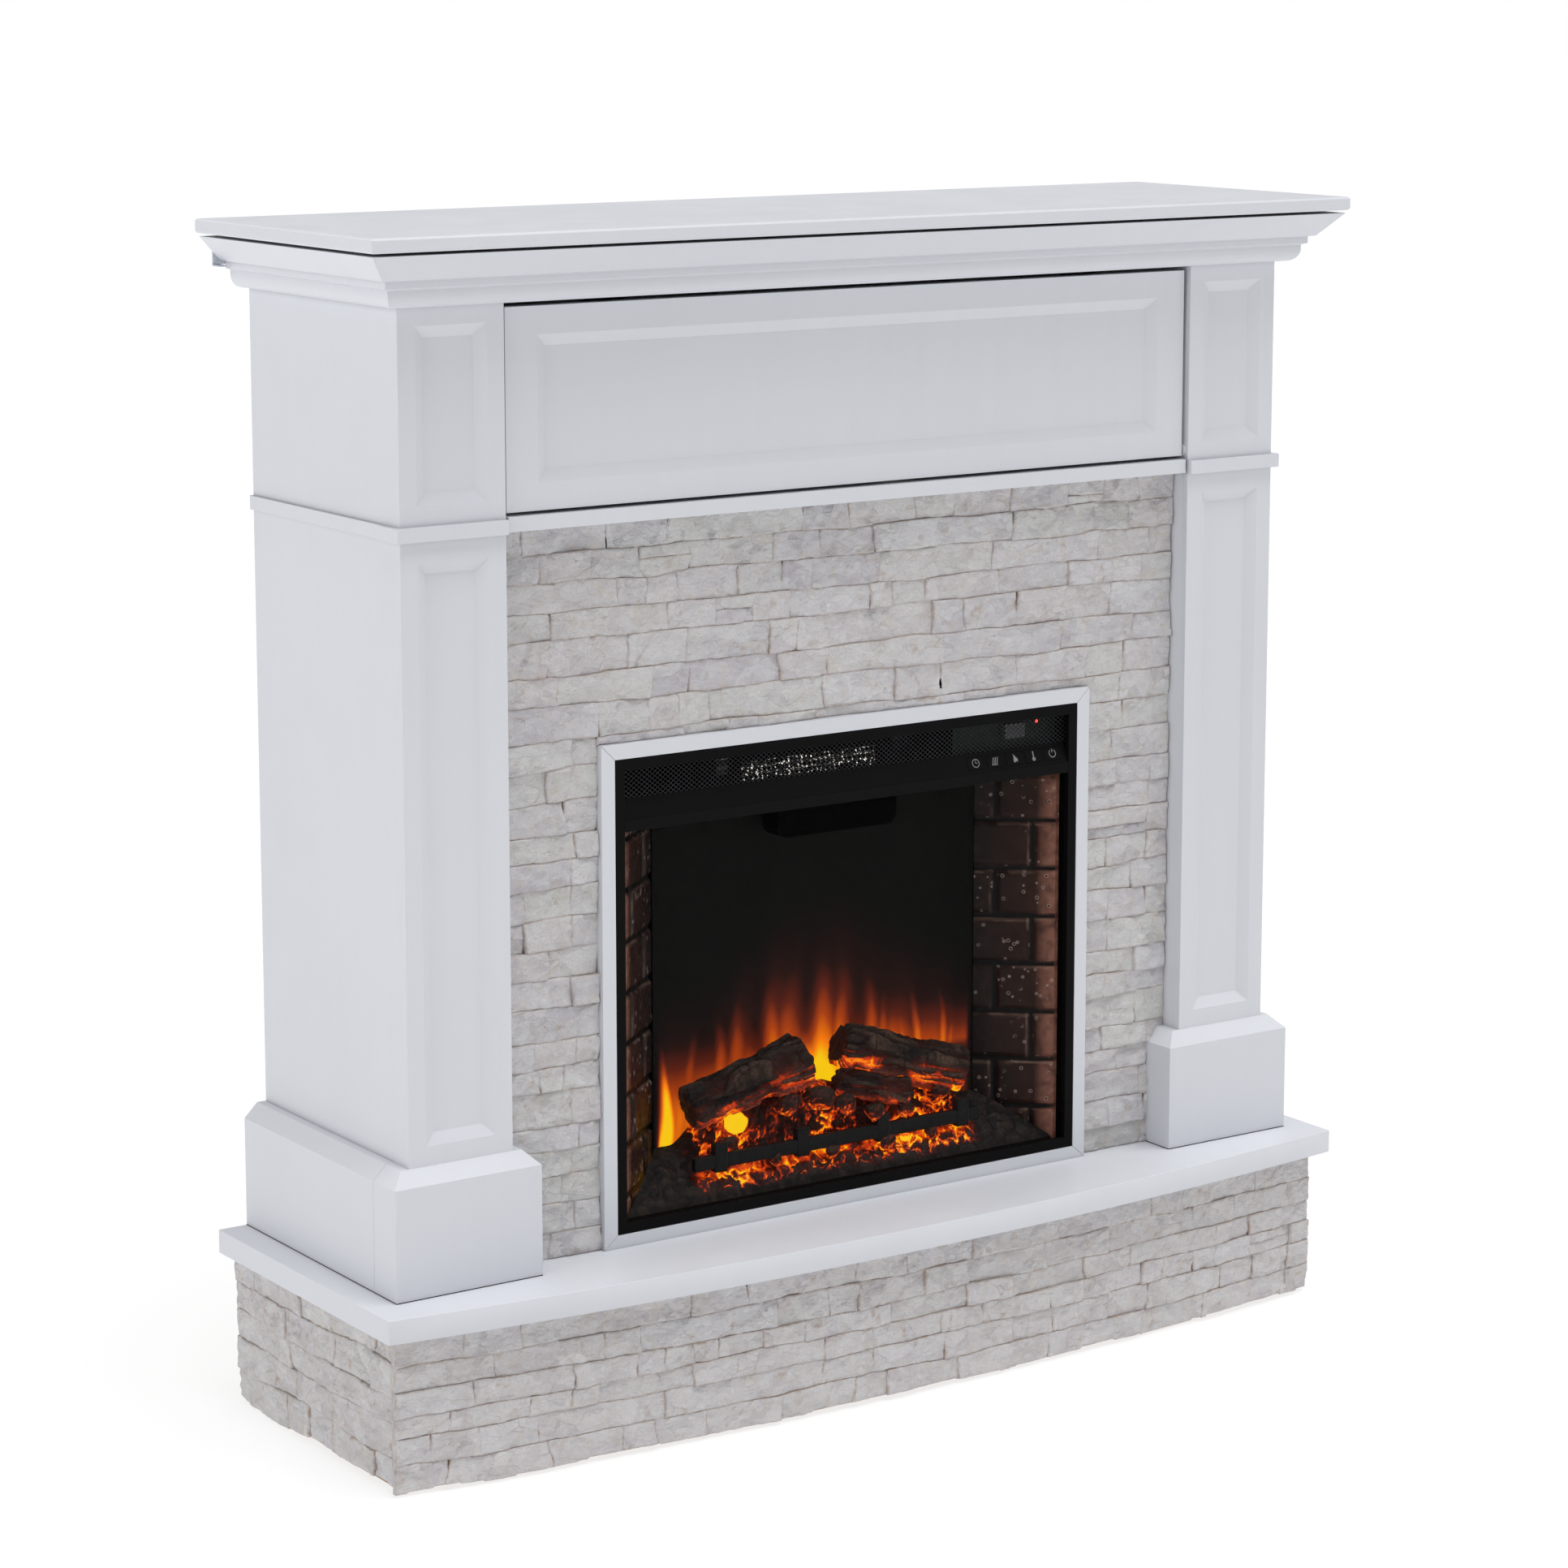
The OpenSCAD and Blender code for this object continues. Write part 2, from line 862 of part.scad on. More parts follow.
// The air duct behind the heater, with a bearing in each end.
module blower_housing() {
    t = 1.5;
    end_t = 3;
    mouth_y = 4;
    mouth_low = fan_z - 25;
    x = fan_end;
    r = fan_r + 4;
    slot_w = 8;
    color("gray")
        difference() {
            union() {
                bar_x(-x, x, fan_y, fan_z, r + t);
                span([-x, mouth_y, mouth_low], [x, fan_y, fan_z + r + t]);
            }
            bar_x(-x + end_t, x - end_t, fan_y, fan_z, r);
            span([-x + end_t, mouth_y - eps, mouth_low + t], [x - end_t, fan_y, fan_z + r]);
            bar_x(-x - eps, x + eps, fan_y, fan_z, shaft_r + fit);
            for (a = [-50:25:50])
                translate([-x + 10, fan_y, fan_z])
                    rotate([a, 0, 0])
                        translate([0, 15, -slot_w / 2]) cube([2 * x - 20, 20, slot_w]);
        }
}

module blower_motor() {
    x = fan_end + 0.4;
    color("silver")
        difference() {
            bar_x(x, x + 36, fan_y, fan_z, 20);
            bar_x(x - eps, x + 14, fan_y, fan_z, shaft_r + fit);
        }
}

module blower_rotor() {
    blades = 16;
    blade_t = 1;
    disc_t = 2;
    color("gainsboro") {
        for (x = [-fan_x, -disc_t / 2, fan_x - disc_t])
            bar_x(x, x + disc_t, fan_y, fan_z, fan_r);
        for (i = [0:blades - 1])
            translate([-fan_x, fan_y, fan_z])
                rotate([i * 360 / blades, 0, 0])
                    translate([0, fan_r - 7, -blade_t / 2]) cube([2 * fan_x, 6, blade_t]);
        bar_x(-fan_end + 0.5, -fan_x + 1, fan_y, fan_z, shaft_r);
        bar_x(fan_x - 1, fan_end + 13, fan_y, fan_z, shaft_r);
    }
}

module glass_pane() {
    color([0.5, 0.5, 0.5, 0.3])
        span(
            [-housing_x + 3, trim_back_y + 0.1, floor_z + 0.1],
            [housing_x - 3, trim_back_y + 3.1, glass_z - 0.2]
        );
}

// Moulded side panels that lean in towards the flame screen, with grooves for the courses.
module brick_panels() {
    course = 54;
    groove = 4;
    color("saddlebrown")
        both_sides()
            difference() {
                along_z(floor_z, fire_top)
                    polygon([[-279.5, -76], [-210.5, -19], [-216.2, -12], [-285.2, -69]]);
                for (z = [floor_z + 40:course:fire_top - 10])
                    along_z(z, z + groove)
                        polygon([[-277, -78], [-208, -21], [-211.9, -16.3], [-280.9, -73.3]]);
            }
}

module flame_screen() {
    color([0.1, 0.1, 0.1])
        span([-screen_x, screen_y, floor_z], [screen_x, screen_y + 3, fire_top]);
}

// A rounded cover that hangs under the heater's floor.
module heat_deflector() {
    r = 12;
    x = 77;
    front_y = -58;
    back_y = -30;
    low = glass_z - 37;
    high = glass_z + 1.5;
    color("black")
        along_y(front_y, back_y) {
            translate([-x + r, low]) square([2 * (x - r), r]);
            translate([-x, low + r]) square([2 * x, high - low - r]);
            for (side = [-1, 1])
                translate([side * (x - r), low + r]) circle(r = r);
        }
}

// Three logs on a heap of coals, moulded as one piece.
module log_set() {
    front_y = -52;
    rear_y = -27;
    color("saddlebrown") {
        bar_between([-178, -43, 314], [-35, -42, 349], 20);
        bar_between([13, -42, 356], [185, -42, 303], 19);
        bar_between([11, -52, 319], [113, -56, 287], 13);
        intersection() {
            along_y(front_y, rear_y)
                polygon([[-165, 240], [-165, 300], [-35, 335], [15, 340], [165, 292], [165, 240]]);
            along_x(-170, 170)
                polygon([
                    [front_y, bed_z(front_y) + play], [rear_y, bed_z(rear_y) + play],
                    [rear_y, 345], [front_y + 6, 345]
                ]);
        }
    }
}

// A sloped, hollow bed that is lit from below.
module ember_bed() {
    wall = 3;
    front_x = 277;
    back_x = 210;
    hollow_x = 180;
    hollow_y = bed_front_y + 12;
    color("orangered")
        difference() {
            intersection() {
                along_x(-front_x, front_x)
                    polygon([
                        [bed_front_y - 2, floor_z], [bed_front_y - 2, bed_low], [bed_front_y, bed_low],
                        [bed_back_y, bed_high], [bed_back_y, floor_z]
                    ]);
                along_z(floor_z - eps, bed_high + eps)
                    polygon([
                        [-front_x, bed_front_y - 2], [front_x, bed_front_y - 2],
                        [front_x, bed_front_y], [back_x, bed_back_y],
                        [-back_x, bed_back_y], [-front_x, bed_front_y]
                    ]);
            }
            along_x(-hollow_x, hollow_x)
                polygon([
                    [hollow_y, floor_z - eps], [hollow_y, bed_z(hollow_y) - 2 * wall],
                    [bed_back_y - wall, bed_high - 3 * wall], [bed_back_y - wall, floor_z - eps]
                ]);
        }
}

module grate() {
    y = -62;
    r = 5;
    lug_x = 8;
    lug_top = 276;
    color("black") {
        bar_x(-187, 187, y, 255, r);
        for (x = [-154, -49, 56, 163])
            span([x - lug_x, y - r, bed_z(y + r) + play], [x + lug_x, y + r, lug_top]);
    }
}

// A bent carrier whose two ears hold the reflector rod.
module rotor_cradle() {
    t = 2;
    ear_y = 12;
    base_x = 235;
    base_y = 20;
    color("silver")
        difference() {
            union() {
                span([-base_x, rotor_y - base_y, floor_z], [base_x, rotor_y + base_y, floor_z + t]);
                both_sides()
                    span([-ear_x - t, rotor_y - ear_y, floor_z], [-ear_x, rotor_y + ear_y, rotor_z + ear_y]);
            }
            bar_x(-ear_x - t - eps, ear_x + t + eps, rotor_y, rotor_z, shaft_r + fit);
        }
}

module rotor_motor() {
    x = ear_x + 2.3;
    color("silver")
        difference() {
            bar_x(x, x + 27, rotor_y, rotor_z, 16);
            bar_x(x - eps, x + 13, rotor_y, rotor_z, shaft_r + fit);
        }
}

// A rod with small reflectors at different angles, which throws the moving light.
module flame_rotor() {
    vanes = 18;
    pitch = 22;
    vane = [16, 28, 0.8];
    turn = 67;
    color("gainsboro") {
        bar_x(-ear_x - 6, ear_x + 13, rotor_y, rotor_z, shaft_r);
        for (i = [0:vanes - 1])
            translate([(i - (vanes - 1) / 2) * pitch, rotor_y, rotor_z])
                rotate([i * turn, 0, 0])
                    cube(vane, center = true);
    }
}

module led_board() {
    x = 175;
    color("darkgreen") span([-x, -58, floor_z], [x, -30, floor_z + pcb_t]);
}

// The gland where the mains cord enters.
module power_inlet() {
    reach = 12;
    cord_r = 4;
    color("black")
        difference() {
            union() {
                bar_y(housing_back_y - sheet_t, housing_back_y + reach, inlet_x, inlet_z, inlet_r - fit);
                bar_y(housing_back_y, housing_back_y + 3, inlet_x, inlet_z, inlet_r + 4);
            }
            bar_y(housing_back_y - 2, housing_back_y + reach + eps, inlet_x, inlet_z, cord_r);
        }
}

// ---- Door ----

module door_panel() {
    x = door_w / 2;
    rail_h = 28.4;
    stile_w = 36.7;
    color("white")
        difference() {
            span([-x, door_front_y, door_z], [x, door_front_y + shelf_t, door_top]);
            panel_recess(-x + stile_w, x - stile_w, door_z + rail_h, door_top - rail_h, door_front_y);
            both_sides()
                bar_x(-x - eps, -x + pin_grip, hinge_y, hinge_z, pin_r);
        }
}

module hinge_pins() {
    color("silver")
        both_sides()
            bar_x(-col_in - 13, -door_w / 2 + pin_grip, hinge_y, hinge_z, pin_r);
}

module strike_plates() {
    back_y = door_front_y + shelf_t;
    plate_x = 16;
    plate_t = 1.6;
    color("silver")
        both_sides()
            span(
                [-catch_x - plate_x, back_y, door_top - catch_h - 1],
                [-catch_x + plate_x, back_y + plate_t, door_top - 1]
            );
}

// ---- Push buttons ----

// A cap in the fascia's slope, with a stem towards the control board.
module button(i) {
    proud = 0.4;
    cap_back = 3;
    stem = 3;
    color("black")
        on_slope(i) {
            span([-button_w / 2, -proud, -button_hgt / 2], [button_w / 2, cap_back, button_hgt / 2]);
            span([-stem, cap_back, -stem], [stem, cap_back + 4, stem]);
        }
}

module button_timer() {
    button(0);
}

module button_heat() {
    button(1);
}

module button_flame() {
    button(2);
}

module button_temperature() {
    button(3);
}

module button_power() {
    button(4);
}

mantel_top();
case_top();
crown_front();
crown_left();
crown_right();
crown_rail();
side_panel_left();
side_panel_right();
pilaster_left();
pilaster_right();
belt_mouldings();
plinth_left();
plinth_right();
media_shelf();
dividers();
back_panel();
cable_grommets();
back_screws();
rear_rails();
face_board();
stone_face();
surround_frame();
hearth_slab();
base_frame();
base_stone_front();
base_stone_sides();
base_feet();
anti_tip_brackets();
magnetic_catches();
hinge_bushes();
insert_housing();
insert_trim();
grille_mesh();
control_fascia();
display_window();
control_board();
heater_element();
blower_housing();
blower_motor();
glass_pane();
brick_panels();
flame_screen();
heat_deflector();
log_set();
ember_bed();
grate();
rotor_cradle();
rotor_motor();
led_board();
power_inlet();
blower_rotor();
flame_rotor();
door_panel();
hinge_pins();
strike_plates();
button_timer();
button_heat();
button_flame();
button_temperature();
button_power();
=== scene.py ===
import json
import math

import bpy
import numpy as np
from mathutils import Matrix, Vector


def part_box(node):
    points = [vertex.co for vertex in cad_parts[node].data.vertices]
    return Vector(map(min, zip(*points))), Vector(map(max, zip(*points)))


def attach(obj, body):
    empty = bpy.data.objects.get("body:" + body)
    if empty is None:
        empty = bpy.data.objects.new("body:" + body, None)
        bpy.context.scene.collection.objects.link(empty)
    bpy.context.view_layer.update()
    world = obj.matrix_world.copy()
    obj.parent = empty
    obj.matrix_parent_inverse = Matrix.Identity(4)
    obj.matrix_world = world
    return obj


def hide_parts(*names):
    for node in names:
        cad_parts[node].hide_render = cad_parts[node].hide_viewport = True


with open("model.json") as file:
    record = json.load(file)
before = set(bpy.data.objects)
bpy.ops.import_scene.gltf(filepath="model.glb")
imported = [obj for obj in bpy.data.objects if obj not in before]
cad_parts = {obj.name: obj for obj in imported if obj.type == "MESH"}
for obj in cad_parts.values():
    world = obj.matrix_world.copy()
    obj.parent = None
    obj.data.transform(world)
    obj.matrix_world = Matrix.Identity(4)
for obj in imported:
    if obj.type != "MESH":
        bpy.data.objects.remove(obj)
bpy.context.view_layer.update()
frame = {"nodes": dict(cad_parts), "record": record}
nodes = frame["nodes"]
MM = 0.001

# ---------------------------------------------------------------- scene objects and the camera


def settle(thing, **settings):
    """Sets the thing's own settings."""
    for key, value in settings.items():
        setattr(thing, key, value)
    return thing


def add(name, data):
    """A new object in the scene."""
    made = bpy.data.objects.new(name, data)
    bpy.context.scene.collection.objects.link(made)
    return made


def place_camera():
    """The place, turn and lens that fit the photograph's perspective."""
    data = settle(bpy.data.cameras.new("camera"), sensor_width=36.0, lens=97.71, shift_y=-0.08,
                  clip_start=0.05, clip_end=60.0)
    turn = (math.radians(90 - 9.5), 0.0, math.radians(-34.158))
    camera = settle(add("camera", data), location=(-2.5381, -3.6973, 1.5210), rotation_euler=turn)
    bpy.context.scene.camera = camera


place_camera()

# ---------------------------------------------------------------- curves and seeded noise


def smooth(t):
    t = np.clip(t, 0.0, 1.0)
    return t * t * (3.0 - 2.0 * t)


def ramp(value, low, high):
    """0 below low, 1 above high, smooth between them."""
    return smooth((value - low) / (high - low))


def fade(value, low, high):
    """1 below low, 0 above high, smooth between them."""
    return 1 - ramp(value, low, high)


def peak(value, middle, width):
    """A bell of height 1 at middle."""
    return np.exp(-(((value - middle) / width) ** 2))


def xyz(x, y, z):
    """Points from three arrays or numbers."""
    return np.stack(np.broadcast_arrays(x, y, z), axis=-1)


def circle(steps):
    """Angles once round."""
    return np.linspace(0, 2 * np.pi, steps, endpoint=False)


def lattice(ix, iy, iz, seed):
    """A fixed random number from 0 to 1 for each whole-numbered point."""
    h = np.sin(ix * 127.1 + iy * 311.7 + iz * 74.7 + seed * 53.3) * 43758.5453
    return h - np.floor(h)


def noise(x, y, z=0.0, seed=0):
    """Smooth value noise from 0 to 1."""
    x, y, z = np.broadcast_arrays(x, y, z)
    ix, iy, iz = np.floor(x), np.floor(y), np.floor(z)
    fx, fy, fz = smooth(x - ix), smooth(y - iy), smooth(z - iz)
    total = 0.0
    for dx, wx in enumerate((1 - fx, fx)):
        for dy, wy in enumerate((1 - fy, fy)):
            for dz, wz in enumerate((1 - fz, fz)):
                total = total + lattice(ix + dx, iy + dy, iz + dz, seed) * wx * wy * wz
    return total


def fbm(x, y, z=0.0, seed=0, octaves=4):
    """Layered noise from about -1 to 1."""
    total, weight, gain = 0.0, 0.0, 1.0
    for octave in range(octaves):
        scale = 2.03**octave
        total = total + gain * (2 * noise(x * scale, y * scale, z * scale, seed + octave * 7) - 1)
        weight += gain
        gain *= 0.5
    return total / weight * 1.6


def cells(x, y, seed=0):
    """Distances to the nearest two scattered points, and the nearest one's own random number."""
    ix, iy = np.floor(x), np.floor(y)
    first = second = np.full(np.shape(x), 9.0)
    tag = np.zeros(np.shape(x))
    for dx in (-1, 0, 1):
        for dy in (-1, 0, 1):
            cx, cy = ix + dx, iy + dy
            px = cx + 0.1 + 0.8 * lattice(cx, cy, 1, seed)
            py = cy + 0.1 + 0.8 * lattice(cx, cy, 2, seed)
            dist = np.hypot(x - px, y - py)
            nearer = dist < first
            second = np.where(nearer, first, np.minimum(second, dist))
            tag = np.where(nearer, lattice(cx, cy, 3, seed), tag)
            first = np.where(nearer, dist, first)
    return first, second, tag


# ---------------------------------------------------------------- mesh building


class Shape:
    """Collects grid patches into one mesh with named values on its points."""

    def __init__(self):
        self.points, self.faces, self.values, self.count = [], [], {}, 0

    def grid(self, points, values=None, closed_u=False, flip=False):
        """points is an array of rows x columns x 3; rows run along v and columns along u."""
        rows, cols = points.shape[:2]
        index = np.arange(rows * cols).reshape(rows, cols) + self.count
        if closed_u:
            index = np.concatenate([index, index[:, :1]], axis=1)
        a, b = index[:-1, :-1].ravel(), index[:-1, 1:].ravel()
        c, d = index[1:, 1:].ravel(), index[1:, :-1].ravel()
        self.points.append(points.reshape(-1, 3))
        self.faces.append(np.stack([d, c, b, a] if flip else [a, b, c, d], axis=1))
        values = values or {}
        for key in set(self.values) | set(values):
            before = self.values.get(key, np.zeros(self.count))
            added = np.broadcast_to(np.asarray(values.get(key, 0.0), float), (rows, cols)).ravel()
            self.values[key] = np.concatenate([before, added])
        self.count += rows * cols

    def bar(self, start, end, side, up):
        """A square-ended bar from start to end with half sizes given as the vectors side and up."""
        side, up = np.array(side), np.array(up)
        corners = [-side - up, side - up, side + up, -side + up]
        walls = np.array([[p + c for c in corners] for p in (start, end)])
        self.grid(walls, closed_u=True)
        for wall, flip in zip(walls, (True, False)):
            self.grid(wall[[[0, 1], [3, 2]]], flip=flip)

    def tube(self, path, radius, sides):
        """A round bar along the points of path, with closed ends."""
        along = np.gradient(path, axis=0)
        along /= np.linalg.norm(along, axis=1)[:, None]
        left = np.cross(along, [0, 1, 0] if abs(along[0][1]) < 0.8 else [1, 0, 0])
        left /= np.linalg.norm(left, axis=1)[:, None]
        up = np.cross(left, along)
        turn = circle(sides)[None, :, None]
        ring = np.cos(turn) * left[:, None] + np.sin(turn) * up[:, None]
        walls = path[:, None] + ring * radius
        ends = [np.repeat(p[None, None], sides, axis=1) for p in (path[0], path[-1])]
        self.grid(np.concatenate([ends[0], walls, ends[1]]), closed_u=True)

    def build(self, name, slot, material=None, body="cabinet", smooth_faces=True, replaces=None):
        """Makes the piece, which rides on body; its material is its slot's unless one is given."""
        mesh = bpy.data.meshes.new(name)
        mesh.from_pydata(np.concatenate(self.points), [], np.concatenate(self.faces))
        mesh.polygons.foreach_set("use_smooth", np.full(len(mesh.polygons), smooth_faces))
        for key, value in self.values.items():
            attribute = mesh.attributes.new(key, "FLOAT", "POINT")
            attribute.data.foreach_set("value", value.astype(np.float32))
        mesh.validate()
        mesh.materials.append(material or FINISH[slot])
        piece = add(name, mesh)
        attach(piece, body)
        if replaces:
            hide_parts(replaces)
        return piece


# ---------------------------------------------------------------- materials


class Paint:
    """A node material under construction."""

    def __init__(self, name, **sockets):
        self.material = bpy.data.materials.new(name)
        self.material.use_nodes = True
        self.tree = self.material.node_tree
        self.shader = self.tree.nodes["Principled BSDF"]
        for key, value in sockets.items():
            self.put(self.shader, key.replace("_", " "), value)
        self.where = self.node("TexCoord").outputs["Object"]

    def put(self, node, key, value):
        """Links or sets an input; one number for a colour is a grey."""
        socket = node.inputs[key]
        if isinstance(value, bpy.types.NodeSocket):
            self.tree.links.new(value, socket)
        elif socket.type == "RGBA":
            socket.default_value = (*np.broadcast_to(value, 3), 1.0)
        else:
            socket.default_value = value

    def node(self, kind, settings=None, **inputs):
        made = settle(self.tree.nodes.new("ShaderNode" + kind), **(settings or {}))
        for key, value in inputs.items():
            spot = int(key[1:]) if key[0] == "_" else key.replace("_", " ")
            self.put(made, spot, value)
        return made

    def stretched(self, scale):
        return self.node("Mapping", Vector=self.where, Scale=scale).outputs["Vector"]

    def noise(self, scale, detail=4.0, stretch=(1, 1, 1), rough=0.5):
        where = self.stretched(stretch)
        return self.node("TexNoise", Vector=where, Scale=scale, Detail=detail, Roughness=rough).outputs["Fac"]

    def spots(self, scale):
        return self.node("TexVoronoi", Vector=self.stretched((1, 1, 1)), Scale=scale).outputs["Distance"]

    def range(self, value, low, high, to_low=0.0, to_high=1.0):
        limits = {"From_Min": low, "From_Max": high, "To_Min": to_low, "To_Max": to_high}
        return self.node("MapRange", {"clamp": True}, Value=value, **limits).outputs["Result"]

    def math(self, operation, a, b=0.5):
        return self.node("Math", {"operation": operation}, _0=a, _1=b).outputs["Value"]

    def vector(self, operation, *values):
        made = self.node("VectorMath", {"operation": operation})
        for spot, value in enumerate(values):
            self.put(made, spot, value)
        return made.outputs["Value" if operation == "DOT_PRODUCT" else "Vector"]

    def times(self, a, b):
        return self.math("MULTIPLY", a, b)

    def patchy(self, noise, *limits):
        """Noise with the given settings, spread between limits as range does."""
        return self.range(self.noise(*noise), *limits)

    def colour(self, value):
        self.base = value
        self.put(self.shader, "Base Color", value)

    def over(self, mask, value):
        """Lays a colour over the base colour where mask is 1."""
        self.colour(self.mix(mask, self.base, value))

    def edge_wear_and_highlight(self, radius, noise, low, high, amount, value):
        """Lays a colour over edges, found within radius, here and there: rubbed wear on most finishes, a
        painted highlight on the white paint.
        """
        soft = self.node("Bevel", {"samples": 4}, Radius=radius).outputs["Normal"]
        turned = self.vector("DOT_PRODUCT", soft, self.node("NewGeometry").outputs["Normal"])
        edges = self.range(self.math("SUBTRACT", 1.0, turned), 0.02, 0.3)
        self.over(self.times(self.times(edges, self.patchy(noise, low, high)), amount), value)

    def rough(self, value):
        self.put(self.shader, "Roughness", value)

    def lit(self, value, strength=1.0):
        self.put(self.shader, "Emission Color", value)
        self.put(self.shader, "Emission Strength", strength)

    def mix(self, factor, a, b):
        return self.node("Mix", {"data_type": "RGBA"}, _0=factor, _6=a, _7=b).outputs[2]

    def stops(self, value, *stops):
        """A colour ramp with the given (place, colour) stops."""
        made = self.node("ValToRGB", Fac=value)
        line = made.color_ramp.elements
        for place, _ in stops[1:-1]:
            line.new(place)
        for stop, (place, colour) in zip(line, stops):
            stop.position, stop.color = place, (*colour, 1.0)
        return made.outputs["Color"]

    def value(self, name):
        return self.node("Attribute", {"attribute_name": name}).outputs["Fac"]

    def bump(self, height, strength, distance):
        made = self.node("Bump", Height=height, Strength=strength, Distance=distance)
        if self.shader.inputs["Normal"].is_linked:
            self.put(made, "Normal", self.shader.inputs["Normal"].links[0].from_socket)
        self.put(self.shader, "Normal", made.outputs["Normal"])

    def shards(self, scale, warp=0.5):
        """Broken facets, each tilted its own way: their height, own shade and distance to a border."""
        drift = self.node("TexNoise", Vector=self.where, Scale=scale * 0.8, Detail=5.0).outputs["Color"]
        moved = self.vector("MULTIPLY_ADD", drift, (warp / scale,) * 3, self.where)
        spread = self.node("Mapping", Vector=moved, Scale=(1.0, 1.0, 1.7)).outputs["Vector"]
        cell = self.node("TexVoronoi", Vector=spread, Scale=scale).outputs
        local = self.vector("SUBTRACT", spread, cell["Position"])
        lean = self.vector("SUBTRACT", cell["Color"], (0.5, 0.5, 0.5))
        dot = self.vector("DOT_PRODUCT", local, lean)
        shade = self.node("SeparateColor", Color=cell["Color"]).outputs["Red"]
        border = self.node("TexVoronoi", {"feature": "DISTANCE_TO_EDGE"}, Vector=spread, Scale=scale)
        return self.times(dot, scale), shade, border.outputs["Distance"]

    def cavity(self, distance):
        """1 in tight corners, 0 on open faces."""
        open_air = self.node("AmbientOcclusion", {"samples": 4}, Distance=distance).outputs["AO"]
        return self.range(open_air, 0.35, 0.95, 1.0, 0.0)


def plain(name, dark, light, patch, grain, wear, rough, gloss=0.5, metal=0.0, bump=0.15, depth=0.0002,
          stretch=(1, 1, 1), **sockets):
    """A finish with broad colour drift, fine grain, uneven gloss and rubbed edges."""
    p = Paint(name, Specular_IOR_Level=gloss, Metallic=metal, **sockets)
    drift = p.noise(patch, 5.0, stretch)
    fine = p.noise(grain, 3.0, stretch)
    both = p.math("ADD", p.times(drift, 0.7), p.times(fine, 0.3))
    p.colour(p.mix(p.range(both, 0.3, 0.7), dark, light))
    p.edge_wear_and_highlight(0.001, (patch * 6, 5.0), 0.4, 0.65, 0.5, wear)
    p.rough(p.patchy((patch * 4, 4.0, stretch), 0.3, 0.7, *rough))
    p.bump(fine, bump, depth)
    return p.material


def white_paint():
    """Sprayed satin paint over MDF: a faint orange peel, painted shade in the corners and recesses, edges
    painted paler as a highlight.
    """
    p = Paint("white_paint", Specular_IOR_Level=0.35)
    brush = p.noise(60.0, 3.0, (1.0, 1.0, 0.12))
    p.colour(p.mix(p.patchy((2.2, 5.0), 0.3, 0.7), (0.655, 0.672, 0.715), (0.685, 0.702, 0.745)))
    p.over(p.range(brush, 0.3, 0.75, 0.0, 0.35), (0.645, 0.66, 0.70))
    # painted highlight: the edges are made paler here and there, as if they catch the light
    p.edge_wear_and_highlight(0.0012, (35.0, 5.0), 0.45, 0.7, 0.35, (0.76, 0.77, 0.79))
    # painted shade: grey darkening in tight corners and recesses, found by ambient occlusion
    p.over(p.times(p.cavity(0.006), 0.42), (0.42, 0.41, 0.44))
    p.rough(p.patchy((18.0, 4.0), 0.3, 0.7, 0.36, 0.5))
    p.bump(p.noise(420.0, 2.0), 0.08, 0.0003)
    p.bump(brush, 0.05, 0.0004)
    return p.material


def raw_board():
    """Bare MDF: a brown felt of short fibres."""
    p = Paint("raw_board", Specular_IOR_Level=0.15)
    fibre = p.noise(900.0, 4.0, (1.0, 0.35, 0.35))
    blotch = p.noise(7.0, 6.0)
    p.colour(p.mix(p.range(fibre, 0.3, 0.7), (0.34, 0.235, 0.14), (0.46, 0.335, 0.215)))
    p.over(p.range(blotch, 0.35, 0.7, 0.0, 0.5), (0.39, 0.28, 0.175))
    p.edge_wear_and_highlight(0.0015, (40.0, 4.0), 0.4, 0.6, 0.5, (0.52, 0.40, 0.27))
    p.rough(p.range(blotch, 0.3, 0.7, 0.7, 0.9))
    p.bump(fibre, 0.2, 0.0002)
    return p.material


